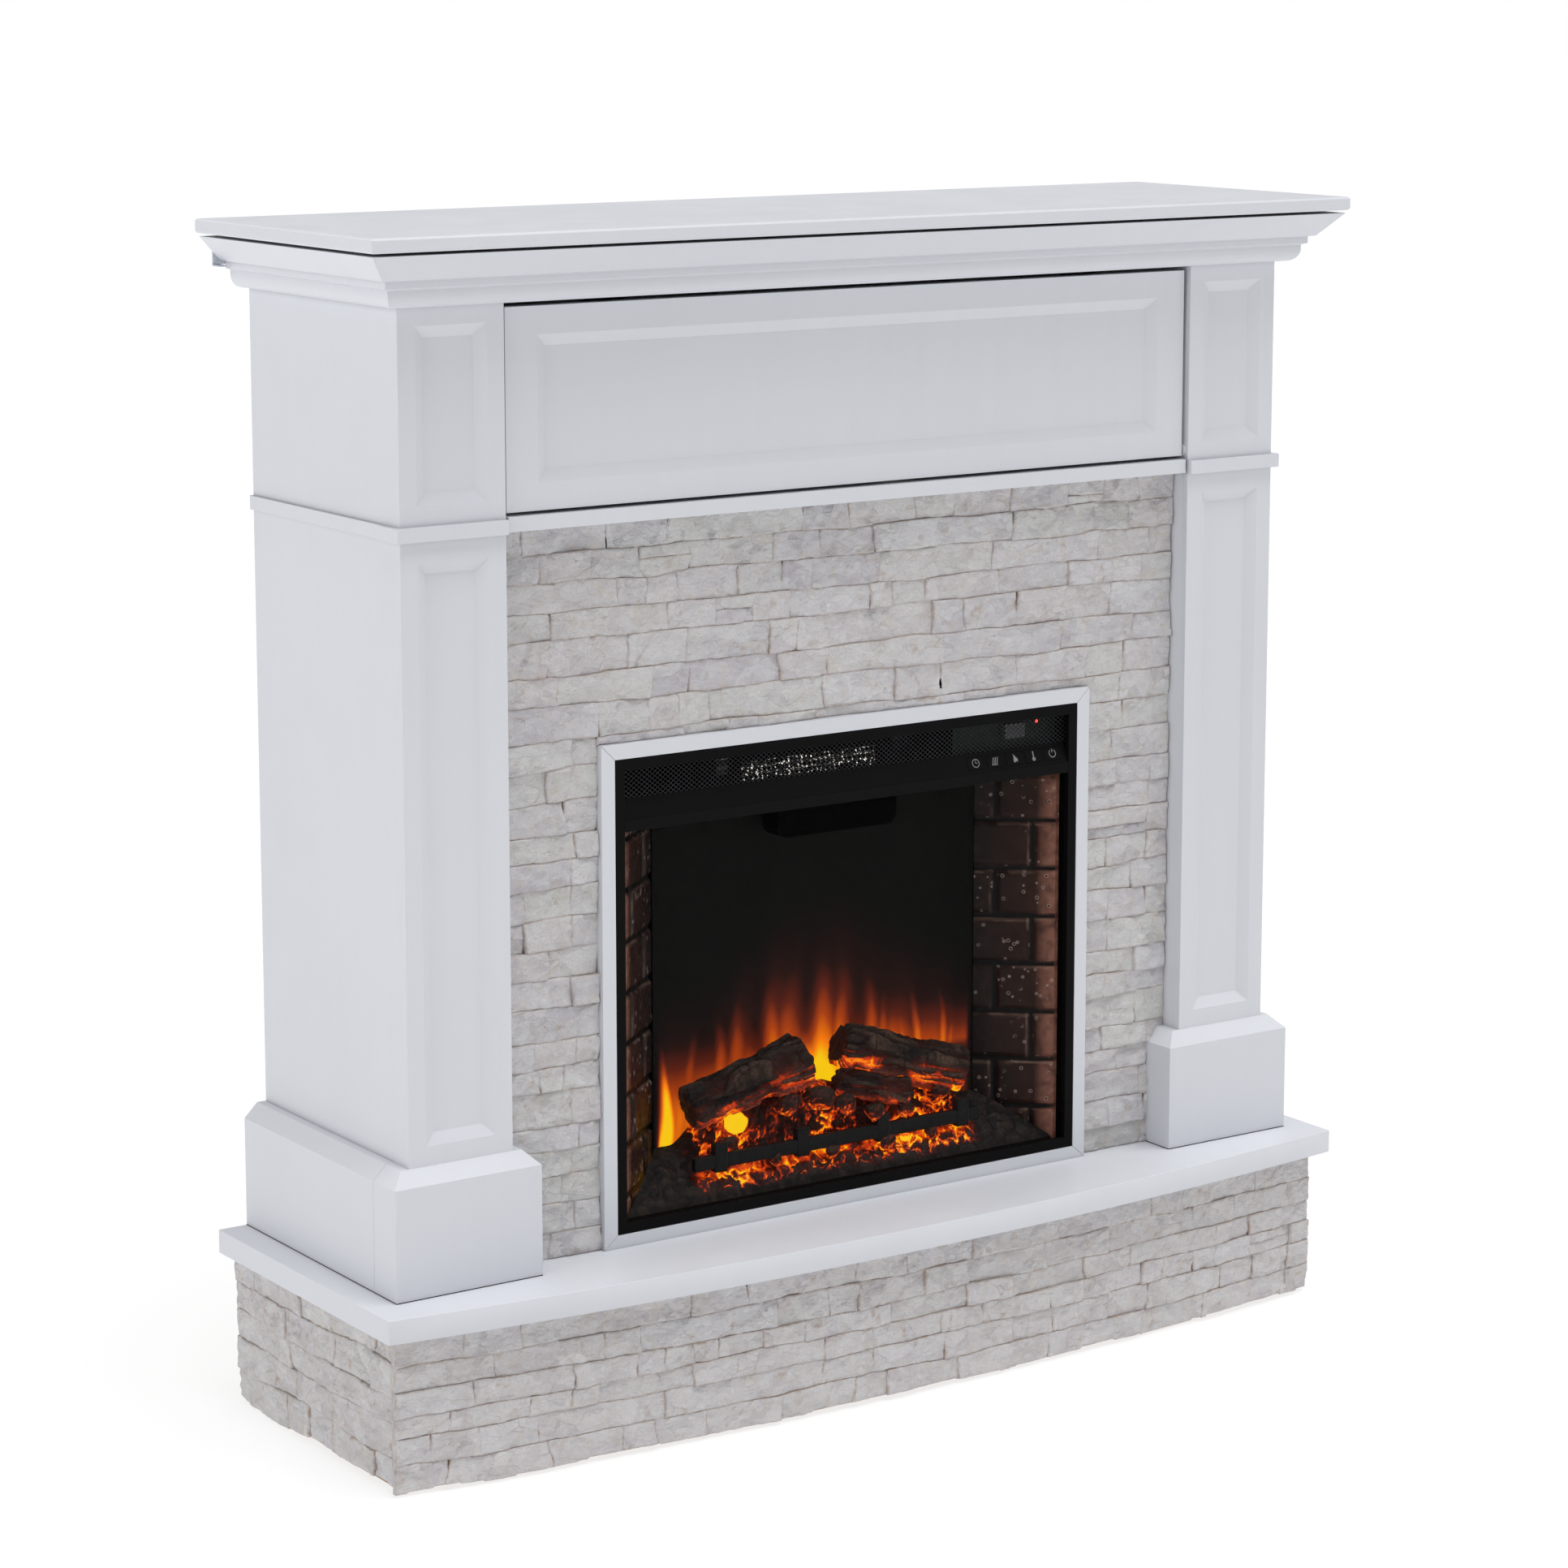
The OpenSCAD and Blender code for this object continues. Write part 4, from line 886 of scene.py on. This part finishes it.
# each tongue of flame: middle, width and tip in mm, brightness, lean in mm
TONGUES = (
    (-196, 11, 386, 1.45, 5), (-177, 11, 364, 0.76, -4), (-157, 13, 396, 0.70, -5), (-129, 15, 410, 0.66, 5),
    (-99, 16, 428, 0.62, -5), (-66, 17, 440, 0.56, 5), (-33, 19, 454, 0.56, -5), (2, 21, 466, 0.56, 5),
    (36, 18, 446, 0.56, -5), (66, 15, 428, 0.60, 5), (90, 12, 402, 0.78, -6), (109, 11, 386, 0.60, 3),
    (127, 11, 404, 0.88, 6), (147, 11, 382, 0.62, -4), (165, 10, 394, 0.92, 6), (184, 9, 372, 0.88, -4),
)


def flame_sheet():
    """The flame picture, drawn on a thin sheet in front of the dark screen."""
    low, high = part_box("flame_screen")
    rise = high.z - low.z
    bright = np.linspace(low.z, low.z + 0.56 * rise, 190)
    dark = np.linspace(low.z + 0.57 * rise, high.z, 12)
    gx, gz = np.meshgrid(np.linspace(low.x, high.x, 260), np.concatenate([bright, dark]))
    x, z = gx / MM, gz / MM
    sway = 5.0 * fbm(gx * 9, gz * 9, 0, 5, 3) + 2.0 * fbm(gx * 30, gz * 14, 0, 6, 2)
    fire = np.zeros_like(gx)
    for index, (centre, width, tip, power, lean) in enumerate(TONGUES):
        base = LEFT_FLAME_FOOT if centre < -180 else FLAME_FOOT
        up = np.clip((z - base) / (tip - base), -0.3, 1.15)
        shown = np.clip(up, 0, 1)
        bend = lean * np.sin(shown * 3.4) + 1.4 * np.sin(up * 8 + index)
        across = (x - centre - bend - sway * shown) / (width * np.clip(1.18 - 0.98 * up, 0.10, 1.3))
        body = peak(across, 0, 1) * fade(up, 0.45, 1.06) * (1 - 0.55 * shown)
        veil = peak(across, 0, 2.1) * fade(up, 0.0, 1.12)
        fire = np.maximum(fire, 0.80 * power * body) + 0.062 * power * veil
    streaks = 1.1 * noise((gx + 2 * MM * sway) * 42, gz * 5.5, 0, 9)
    streaks = 0.45 + streaks * (0.5 + noise(gx * 90, gz * 9, 0, 10))
    arch = peak(x, 4, 120)
    haze = (0.09 + 0.22 * arch) * streaks * fade(z, 330, 430 + 95 * arch)
    curtain = 0.62 * fade(z, FLAME_FOOT, 392) * ramp(x, -208, -190)
    column = 0.36 * peak(x, 2, 25) * fade(z, 305, 385)
    fire = np.maximum(fire, curtain) + haze + column
    fire *= 1 - 0.6 * ramp(x, 60, 110) * fade(z, 318, 332)
    fire *= 0.84 + 0.26 * noise(gx * 70, gz * 9, 0, 12)
    fire *= fade(np.abs(gx), 0.955 * high.x, 0.995 * high.x)
    shape = Shape()
    shape.grid(xyz(gx, low.y - 0.25 * MM, gz), {"fire": np.clip(fire, 0, 1)})
    shape.build("flame_picture_sheet", "screen_plastic", flame_picture())


def ember_heap():
    """Coals under and between the logs, lit from below through the gaps."""
    low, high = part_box("ember_bed")
    half_front, half_back = high.x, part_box("flame_screen")[1].x
    gx, gs = np.meshgrid(np.linspace(-1, 1, 390), np.linspace(0, 1, 96))
    x = gx * (half_front + (half_back - half_front) * gs)
    xmm = x / MM

    # a sloping bed that is heaped up in the middle; arc is the way up it
    heap = ramp(xmm, -192, -150) * fade(xmm, 150, 196)
    crest = 32 + 16 * peak(xmm, -40, 45) - 10 * ramp(xmm, 60, 160) + 6 * fbm(x * 30, 0, 0, 3, 3)
    steep = ramp(gs, 0.38, 0.95) ** 1.1
    z = low.z + 7 * MM + (high.z - low.z - 7 * MM) * gs + heap * crest * MM * steep
    arc = gs * 62 * MM + steep * 40 * MM * heap

    def rough(scale, seed, octaves=4):
        return fbm(x * scale, arc * scale, 0, seed, octaves)

    # lumps and crumbs
    wx, wa = x + 6.5 * MM * rough(55, 21), arc + 6.5 * MM * rough(55, 22)
    f1, f2, tag = cells(wx / (13 * MM), wa / (10 * MM), 5)
    g1, g2, small = cells(wx / (5.2 * MM), wa / (4.6 * MM), 9)
    lump = (1 - f1) * (0.45 + 0.9 * tag)
    crumb = (1 - g1) * (0.3 + 0.5 * small)
    lit = ramp(xmm, -190, -165) * fade(xmm, 165, 192)
    bump = 6.5 * MM * lump + 3.4 * MM * crumb + 1.2 * MM * rough(240, 23)
    bump = bump * (0.55 + 0.45 * lit) * ramp(gs, 0.0, 0.06) * (1 - 0.55 * ramp(gs, 0.9, 1.0))
    z += bump * 0.75
    y = low.y + 2 * MM + (high.y - 2 * MM - low.y) * gs - bump * 0.55 * ramp(gs, 0.08, 0.3)

    # light from the gaps between them, and a bright hole at the left
    patch = 0.5 + 0.5 * fbm(x * 22 + 3, arc * 34, 0, 31, 3)
    flow = 0.5 + 0.5 * rough(90, 33)
    vein = 1 - np.abs(fbm(wx * 75, wa * 85, 0, 35, 4)) * 2.6
    glow = fade(f2 - f1, 0.0, 0.30) * (0.25 + 0.75 * patch) + 0.45 * fade(g2 - g1, 0.0, 0.28) * flow
    glow = glow * (0.35 + 0.9 * flow) + 0.50 * np.clip(vein, 0, 1) * ramp(patch, 0.3, 0.7) + 0.16 * patch
    glow = glow * (1 - 0.85 * ramp(tag, 0.58, 0.62)) * (1 - 0.8 * ramp(small, 0.74, 0.78))
    front_fade = ramp(gs, 0.06 - 0.05 * fbm(x * 20, 1, 0, 2, 2), 0.2)
    glow = glow * front_fade * (1 - 0.55 * ramp(gs, 0.52, 1.0)) * lit + lit * 0.45 * peak(gs, 0.40, 0.09) * flow
    hole = ((xmm - BRIGHT_HOLE_X) / 15) ** 2 + ((z / MM - BRIGHT_HOLE_Z) / 11.5) ** 2
    window = fade(hole, 0.80, 1.10)
    glow = np.maximum(glow * (1 - window), 1.9 * window) + 0.4 * peak(hole, 1.3, 1.2) * (hole > 1.1) * flow
    lift = ramp(lump, 0.35, 0.9) * (1 - window)
    points = xyz(x, np.clip(y, low.y, high.y), np.minimum(z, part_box("log_set")[1].z))
    shape = Shape()
    shape.grid(points, {"glow": np.clip(glow * 1.12, 0, 1.9), "lift": lift})
    foot = points[[0, 0]].copy()
    foot[0, :, 2] = low.z
    shape.grid(foot, {"glow": 0.0, "lift": 0.2})
    shape.build("ember_heap", "ember_resin", replaces="ember_bed")


def log(shape, a, b, radius, seed, taper, bow, knots):
    """A burnt log from a to b with deep bark ridges, knots at (place, angle, size) and broken ends."""
    a, b = np.array(a, float) * MM, np.array(b, float) * MM
    length = np.linalg.norm(b - a)
    axis = (b - a) / length
    side = np.cross(axis, [0, 1, 0])
    side /= np.linalg.norm(side)
    up = np.cross(side, axis)
    gt, gs = np.meshgrid(circle(130), np.linspace(0, 1, int(length / (1.15 * MM))))
    r = radius * MM
    cx, cy = np.cos(gt), np.sin(gt)
    along = gs * length

    # bark: long fibres, finer ones between them, and checks across
    broad = fbm(along * 26, cx * 1.5 + seed, cy * 1.5, seed, 3)
    turn = gt + 0.5 * fbm(along * 14, cx, cy, seed + 1, 2)
    rx, ry = np.cos(turn) * r * 125, np.sin(turn) * r * 125

    def ridges(scale, pace, layer):
        return 1 - np.abs(2 * noise(rx * scale, ry * scale, along * pace, seed + layer) - 1)

    fine = ridges(2.3, 34, 3)
    groove = ramp(ridges(1, 15, 2), 0.60, 0.90)
    check = ramp(ridges(0.5, 70, 4), 0.86, 1.0) * 0.8
    reach = r * (1 + 0.10 * broad - taper * (gs - 0.5))
    reach = reach - 4.2 * MM * groove - 2.0 * MM * ramp(fine, 0.50, 1.0) - 2.6 * MM * check
    reach += 0.9 * MM * fbm(along * 180, rx * 2.4, ry * 2.4, seed + 5, 4)
    for place, angle, size in knots:
        off = np.angle(np.exp(1j * (gt - angle)))
        dist = np.hypot((gs - place) * length, off * r) / (size * MM)
        reach += 0.75 * size * MM * np.exp(-(dist**2) * 1.2)
    reach *= 0.80 + 0.20 * ramp(np.minimum(gs, 1 - gs) * length, 0, 3.5 * MM)
    ragged = 2.5 * MM * fbm(cx * 2.2, cy * 2.2, gs * 0 + seed, seed + 6, 3) * (np.abs(gs - 0.5) * 2) ** 6
    centre = a + axis * (along + ragged)[..., None] + up * (bow * MM * np.sin(gs * np.pi))[..., None]
    points = centre + (side * cx[..., None] + 0.82 * up * cy[..., None]) * reach[..., None]

    # light from below, in the grooves
    down = ramp(-(points[..., 2] - centre[..., 2]) / r, -0.35, 0.9)
    face = ramp(-(points[..., 1] - centre[..., 1]) / r, -0.2, 0.8)
    spark = np.clip(0.35 + 0.8 * fbm(along * 26, cx * 2, cy * 2, seed + 8, 3), 0, 1)
    glow = (groove * 0.9 + check * 0.8) * (0.10 + 1.25 * down) * spark * (0.35 + 0.65 * face) + 0.22 * down**3
    crown = (1 - groove) * (1 - 0.7 * ramp(fine, 0.5, 0.9)) * (1 - check)
    values = {"glow": np.clip(glow, 0, 1), "lift": 0.75 * crown * ramp(broad, -0.9, 0.5)}
    shape.grid(points, values, closed_u=True)
    share = np.linspace(1, 0, 12)[:, None]
    for end, out in ((0, -1), (-1, 1)):
        middle = centre[end].mean(axis=0)
        cap = middle + (points[end] - middle)[None] * share[..., None]
        rough = fbm(np.linspace(0, 6, 12)[:, None], cx[end][None] * 2, cy[end][None] * 2, seed + 11, 3)
        cap = cap + axis * (1.2 * MM * rough * (1 - share**4))[..., None] * out
        shape.grid(cap, {"glow": 0.03, "lift": 0.12}, closed_u=True, flip=out < 0)


# each loose coal: place and size in mm
COALS = (
    (-62, -55, 300, 13), (-22, -56, 302, 14), (14, -58, 292, 12), (48, -60, 278, 10), (-140, -56, 270, 9),
    (88, -60, 276, 9), (140, -58, 286, 11), (-84, -64, 246, 7), (-10, -66, 244, 8), (62, -66, 243, 8),
    (120, -64, 244, 7), (-46, -60, 268, 8),
)


def coals(shape, rng):
    """Loose chunks of charcoal lying on the heap, each cut by eleven planes."""
    gt, gp = np.meshgrid(circle(36), np.linspace(0.02, np.pi - 0.02, 22))
    d = xyz(np.sin(gp) * np.cos(gt), np.sin(gp) * np.sin(gt), np.cos(gp))
    axes = [d[..., k] for k in range(3)]
    for *centre, size in COALS:
        seed = int(rng.integers(999))
        planes = rng.normal(size=(11, 3))
        planes /= np.linalg.norm(planes, axis=1)[:, None]
        reach = np.min(rng.uniform(0.62, 0.95, 11) / np.maximum(d @ planes.T, 0.05), axis=-1)
        reach = np.minimum(reach, 1.15) * (1 + 0.07 * fbm(*(a * 4 for a in axes), seed, 4))
        points = np.array(centre) * MM + d * (reach * size * MM)[..., None] * np.array([1.2, 0.8, 1.0])
        vein = 1 - np.abs(2 * noise(*(a * 3.2 for a in axes), seed + 3) - 1)
        under = ramp(-axes[2], -0.5, 0.9)
        glow = ramp(vein, 0.86, 1.0) * (0.25 + 0.6 * under) + 0.34 * under**2
        values = {"glow": glow * 0.9, "lift": 0.08 + 0.22 * ramp(axes[2], 0, 1)}
        shape.grid(points, values, closed_u=True, flip=True)


def log_pile():
    shape, rng = Shape(), np.random.default_rng(5)
    log(shape, (-183, -47, 312), (-36, -46, 347), 28.0, 3, -0.22, 2.5, ((0.86, 1.0, 5), (0.2, 4.2, 4)))
    log(shape, (11, -46, 354), (174, -46, 301), 27.5, 8, -0.02, 3.0,
        ((0.62, 1.2, 6), (0.06, 4.0, 6), (0.9, 2.2, 4)))
    log(shape, (3, -54, 316), (96, -55, 292), 16.5, 14, 0.05, 0.0, ((0.5, 4.4, 3),))
    coals(shape, rng)
    shape.build("log_pile", "log_resin", replaces="log_set")


def fire_grate():
    """A flat cast bar with four blunt lugs standing on the coals."""
    low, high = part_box("grate")
    y, z = (low.y + high.y) / 2, GRATE_BAR * MM
    shape = Shape()
    shape.bar((low.x, y, z), (high.x, y, z), (0, 4 * MM, 0), (0, 0, 7.5 * MM))
    for x in GRATE_LUGS:
        shape.bar((x * MM, y, low.z + 9 * MM), (x * MM, y, high.z), (8 * MM, 0, 0), (0, 5 * MM, 0))
    soften(shape.build("fire_grate", "grate_iron", smooth_faces=False, replaces="grate"), 1.6 * MM, 3)


def crossed_strands():
    """Expanded metal behind the top slot of the insert: two sets of strands, cut off at its ends."""
    low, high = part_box("grille_mesh")
    y, rise = (low.y + high.y) / 2, high.z - low.z
    pitch, run = 6.4 * MM, rise * 1.3
    shape = Shape()
    for sign in (1, -1):
        x = low.x - run
        while x < high.x + run:
            cuts = sorted(((low.x - x) / (sign * run), (high.x - x) / (sign * run)))
            first, last = max(0.0, cuts[0]), min(1.0, cuts[1])
            if last - first >= 0.02:
                a, b = (np.array([x + sign * run * t, y + sign * 0.12 * MM, low.z + rise * t])
                        for t in (first, last))
                along = (b - a) / np.linalg.norm(b - a)
                shape.bar(a, b, np.array([-along[2], 0, along[0]]) * 0.42 * MM, (0, 0.16 * MM, 0))
            x += pitch
    shape.build("grille_strands", "mesh_steel", smooth_faces=False, replaces="grille_mesh")


def heater_coils():
    """Bright resistance wire wound round the three heater rods."""
    low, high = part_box("heater_element")
    turns, radius = 30, 3.2 * MM
    t = np.linspace(0, 1, turns * 14)
    x = low.x + 12 * MM + t * (high.x - low.x - 24 * MM)
    shape = Shape()
    for k, rod in enumerate(HEATER_RODS):
        wave = 2 * np.pi * turns * t + k
        path = xyz(x, (low.y + high.y) / 2 + radius * np.cos(wave), rod * MM + radius * np.sin(wave))
        shape.tube(path, 0.6 * MM, 5)
    shape.build("heater_coils", "aluminium", sparkling_wire())


def vent_filter():
    """A dark felt filter behind the slots in the back of the insert."""
    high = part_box("insert_housing")[1]
    half = VENT_HALF_WIDTH * MM
    gx, gz = np.meshgrid(np.linspace(-half, half, 90), np.linspace(VENT_LOW * MM, VENT_HIGH * MM, 14))
    front = high.y - 3.0 * MM - 0.35 * MM * noise(gx * 300, gz * 300, 0, 4)
    shape = Shape()
    for y, flip in ((front, False), (front + 1.2 * MM, True)):
        shape.grid(xyz(gx, y, gz), flip=flip)
    shape.build("vent_filter", "black_plastic", FINISH["felt"])


brick_sides()
flame_sheet()
ember_heap()
log_pile()
fire_grate()
crossed_strands()
heater_coils()
vent_filter()

# ---------------------------------------------------------------- marks on the buttons, lamp


def ring(radius, width, start=0, end=360, rise=0.0):
    """A flat ring or arc between two angles."""
    t = np.linspace(math.radians(start), math.radians(end), 28)
    radii = (radius + width / 2, radius - width / 2)
    return np.array([np.stack([np.cos(t) * r, np.sin(t) * r + rise], axis=-1) for r in radii])


def stroke(a, b, width):
    a, b = np.array(a, float), np.array(b, float)
    d = (b - a) / np.linalg.norm(b - a)
    n = np.array([-d[1], d[0]]) * width / 2
    return np.array([[a + n, b + n], [a - n, b - n]])


def leaf(scale, shift=(0.0, 0.0)):
    """A small flame outline filled as one patch."""
    t = np.linspace(0, 1, 14)
    half_width = 0.475 * np.sin(np.pi * t**0.75) * (1 - 0.35 * t)
    bend = 0.35 * np.sin(t * 4.0) * t
    sides = [np.stack([bend + side * half_width, t * 2.2 - 1.1], axis=-1) for side in (-1, 1)]
    return np.array(sides) * scale + np.array(shift)


# the patches of each sign, in a plane about 6 units across
MARKS = {
    "timer": (ring(2.6, 0.5), stroke((0, 0), (0, 1.7), 0.45), stroke((0, 0), (1.2, 0), 0.45)),
    "heat": (*(stroke((x - 0.7, -2.2), (x + 0.7, 2.2), 0.6) for x in (-1.6, 0, 1.6)),
             stroke((-2.9, -2.5), (1.6, -2.5), 0.4)),
    "flame": (leaf(2.6), leaf(1.5, (1.7, -0.9))),
    "temperature": (stroke((0, -1.2), (0, 3.0), 0.8), ring(0.8, 1.0, rise=-2.0)),
    "power": (ring(2.5, 0.55, 125, 415), stroke((0, 0.6), (0, 3.1), 0.55)),
}
FASCIA_TILT = math.atan2(663 - 641.5, 8.6)  # the fascia rises 21.5 mm over 8.6 mm of depth
MARK_SIZE = 1.7 * MM


def button_marks():
    """Small signs in grey print, laid just on each button's face, with a faint painted glow."""
    # painted light: the grey print glows faintly, though nothing lights it
    print_with_painted_glow = glowing("print_mark_painted_glow", (0.20, 0.20, 0.205), 0.12)
    right = np.array([1.0, 0, 0])
    up = np.array([0.0, math.cos(FASCIA_TILT), math.sin(FASCIA_TILT)])
    out = np.array([0.0, -math.sin(FASCIA_TILT), math.cos(FASCIA_TILT)])
    for kind, parts in MARKS.items():
        button = "button_" + kind
        co = np.array([v.co for v in nodes[button].data.vertices])
        reach = co @ out
        middle = co[reach > reach.max() - 0.05 * MM].mean(axis=0)
        middle[0] = (co[:, 0].min() + co[:, 0].max()) / 2
        shape = Shape()
        for part in parts:
            flat = part * MARK_SIZE
            points = middle + flat[..., :1] * right + flat[..., 1:] * up + out * 0.06 * MM
            shape.grid(points)
            shape.grid(points - out * 0.1 * MM, flip=True)
        shape.build("mark_" + kind, "black_plastic", print_with_painted_glow, body=button, smooth_faces=False)


def status_lamp():
    """A red dome in the upper right corner of the read-out."""
    low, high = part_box("display_window")
    gt, gp = np.meshgrid(circle(20), np.linspace(0, np.pi / 2, 7))
    centre = np.array([high.x - 2 * MM, low.y + 0.2 * MM, high.z - 2 * MM])
    shape = Shape()
    dome = xyz(np.sin(gp) * np.cos(gt), -np.cos(gp), np.sin(gp) * np.sin(gt))
    shape.grid(centre + dome * 1.7 * MM, closed_u=True)
    shape.build("status_lamp", "display_lens", glowing("red_lamp", (1.0, 0.03, 0.02), 5.0))


button_marks()
status_lamp()

# ---------------------------------------------------------------- stage

FLOOR_REACH = 60.0  # metres


def area_light(name, place, aim, size, power):
    data = settle(bpy.data.lights.new(name, "AREA"), shape="RECTANGLE", energy=power,
                  size=size[0], size_y=size[1])
    dx, dy, dz = np.array(aim, float) - np.array(place, float)
    turn = (math.pi / 2 + math.atan2(dz, math.hypot(dx, dy)), 0.0, -math.atan2(dx, dy))
    settle(add(name, data), location=place, rotation_euler=turn)


def make_stage():
    mesh = bpy.data.meshes.new("floor")
    corners = [(x * FLOOR_REACH, y * FLOOR_REACH, 0) for x, y in ((-1, -1), (1, -1), (1, 1), (-1, 1))]
    mesh.from_pydata(corners, [], [(0, 1, 2, 3)])
    mesh.materials.append(stage_floor())
    add("floor", mesh)

    # white light from the horizon, grey from above
    world = bpy.data.worlds.new("studio")
    bpy.context.scene.world = world
    world.use_nodes = True
    tree = world.node_tree
    kinds = ("TexCoord", "SeparateXYZ", "ValToRGB")
    where, split, rising = (tree.nodes.new("ShaderNode" + kind) for kind in kinds)
    tree.links.new(where.outputs["Generated"], split.inputs[0])
    tree.links.new(split.outputs["Z"], rising.inputs["Fac"])
    for stop, position, grey in zip(rising.color_ramp.elements, (0.01, 0.10), (1.0, 0.36)):
        stop.position, stop.color = position, (grey, grey, grey, 1.0)
    tree.links.new(rising.outputs["Color"], tree.nodes["Background"].inputs["Color"])

    area_light("left_softbox", (-4.2, -0.4, 2.0), (0, 0, 0.6), (2.4, 2.4), 40.0)
    area_light("right_softbox", (3.4, -1.9, 1.9), (0.4, 0, 0.7), (0.9, 1.4), 8.0)
    sun = settle(bpy.data.lights.new("overhead", "SUN"), energy=2.3, angle=math.radians(40))
    add("overhead", sun).rotation_euler = (math.radians(13), 0.0, math.radians(25))
    bpy.context.scene.view_settings.view_transform = "Standard"


make_stage()
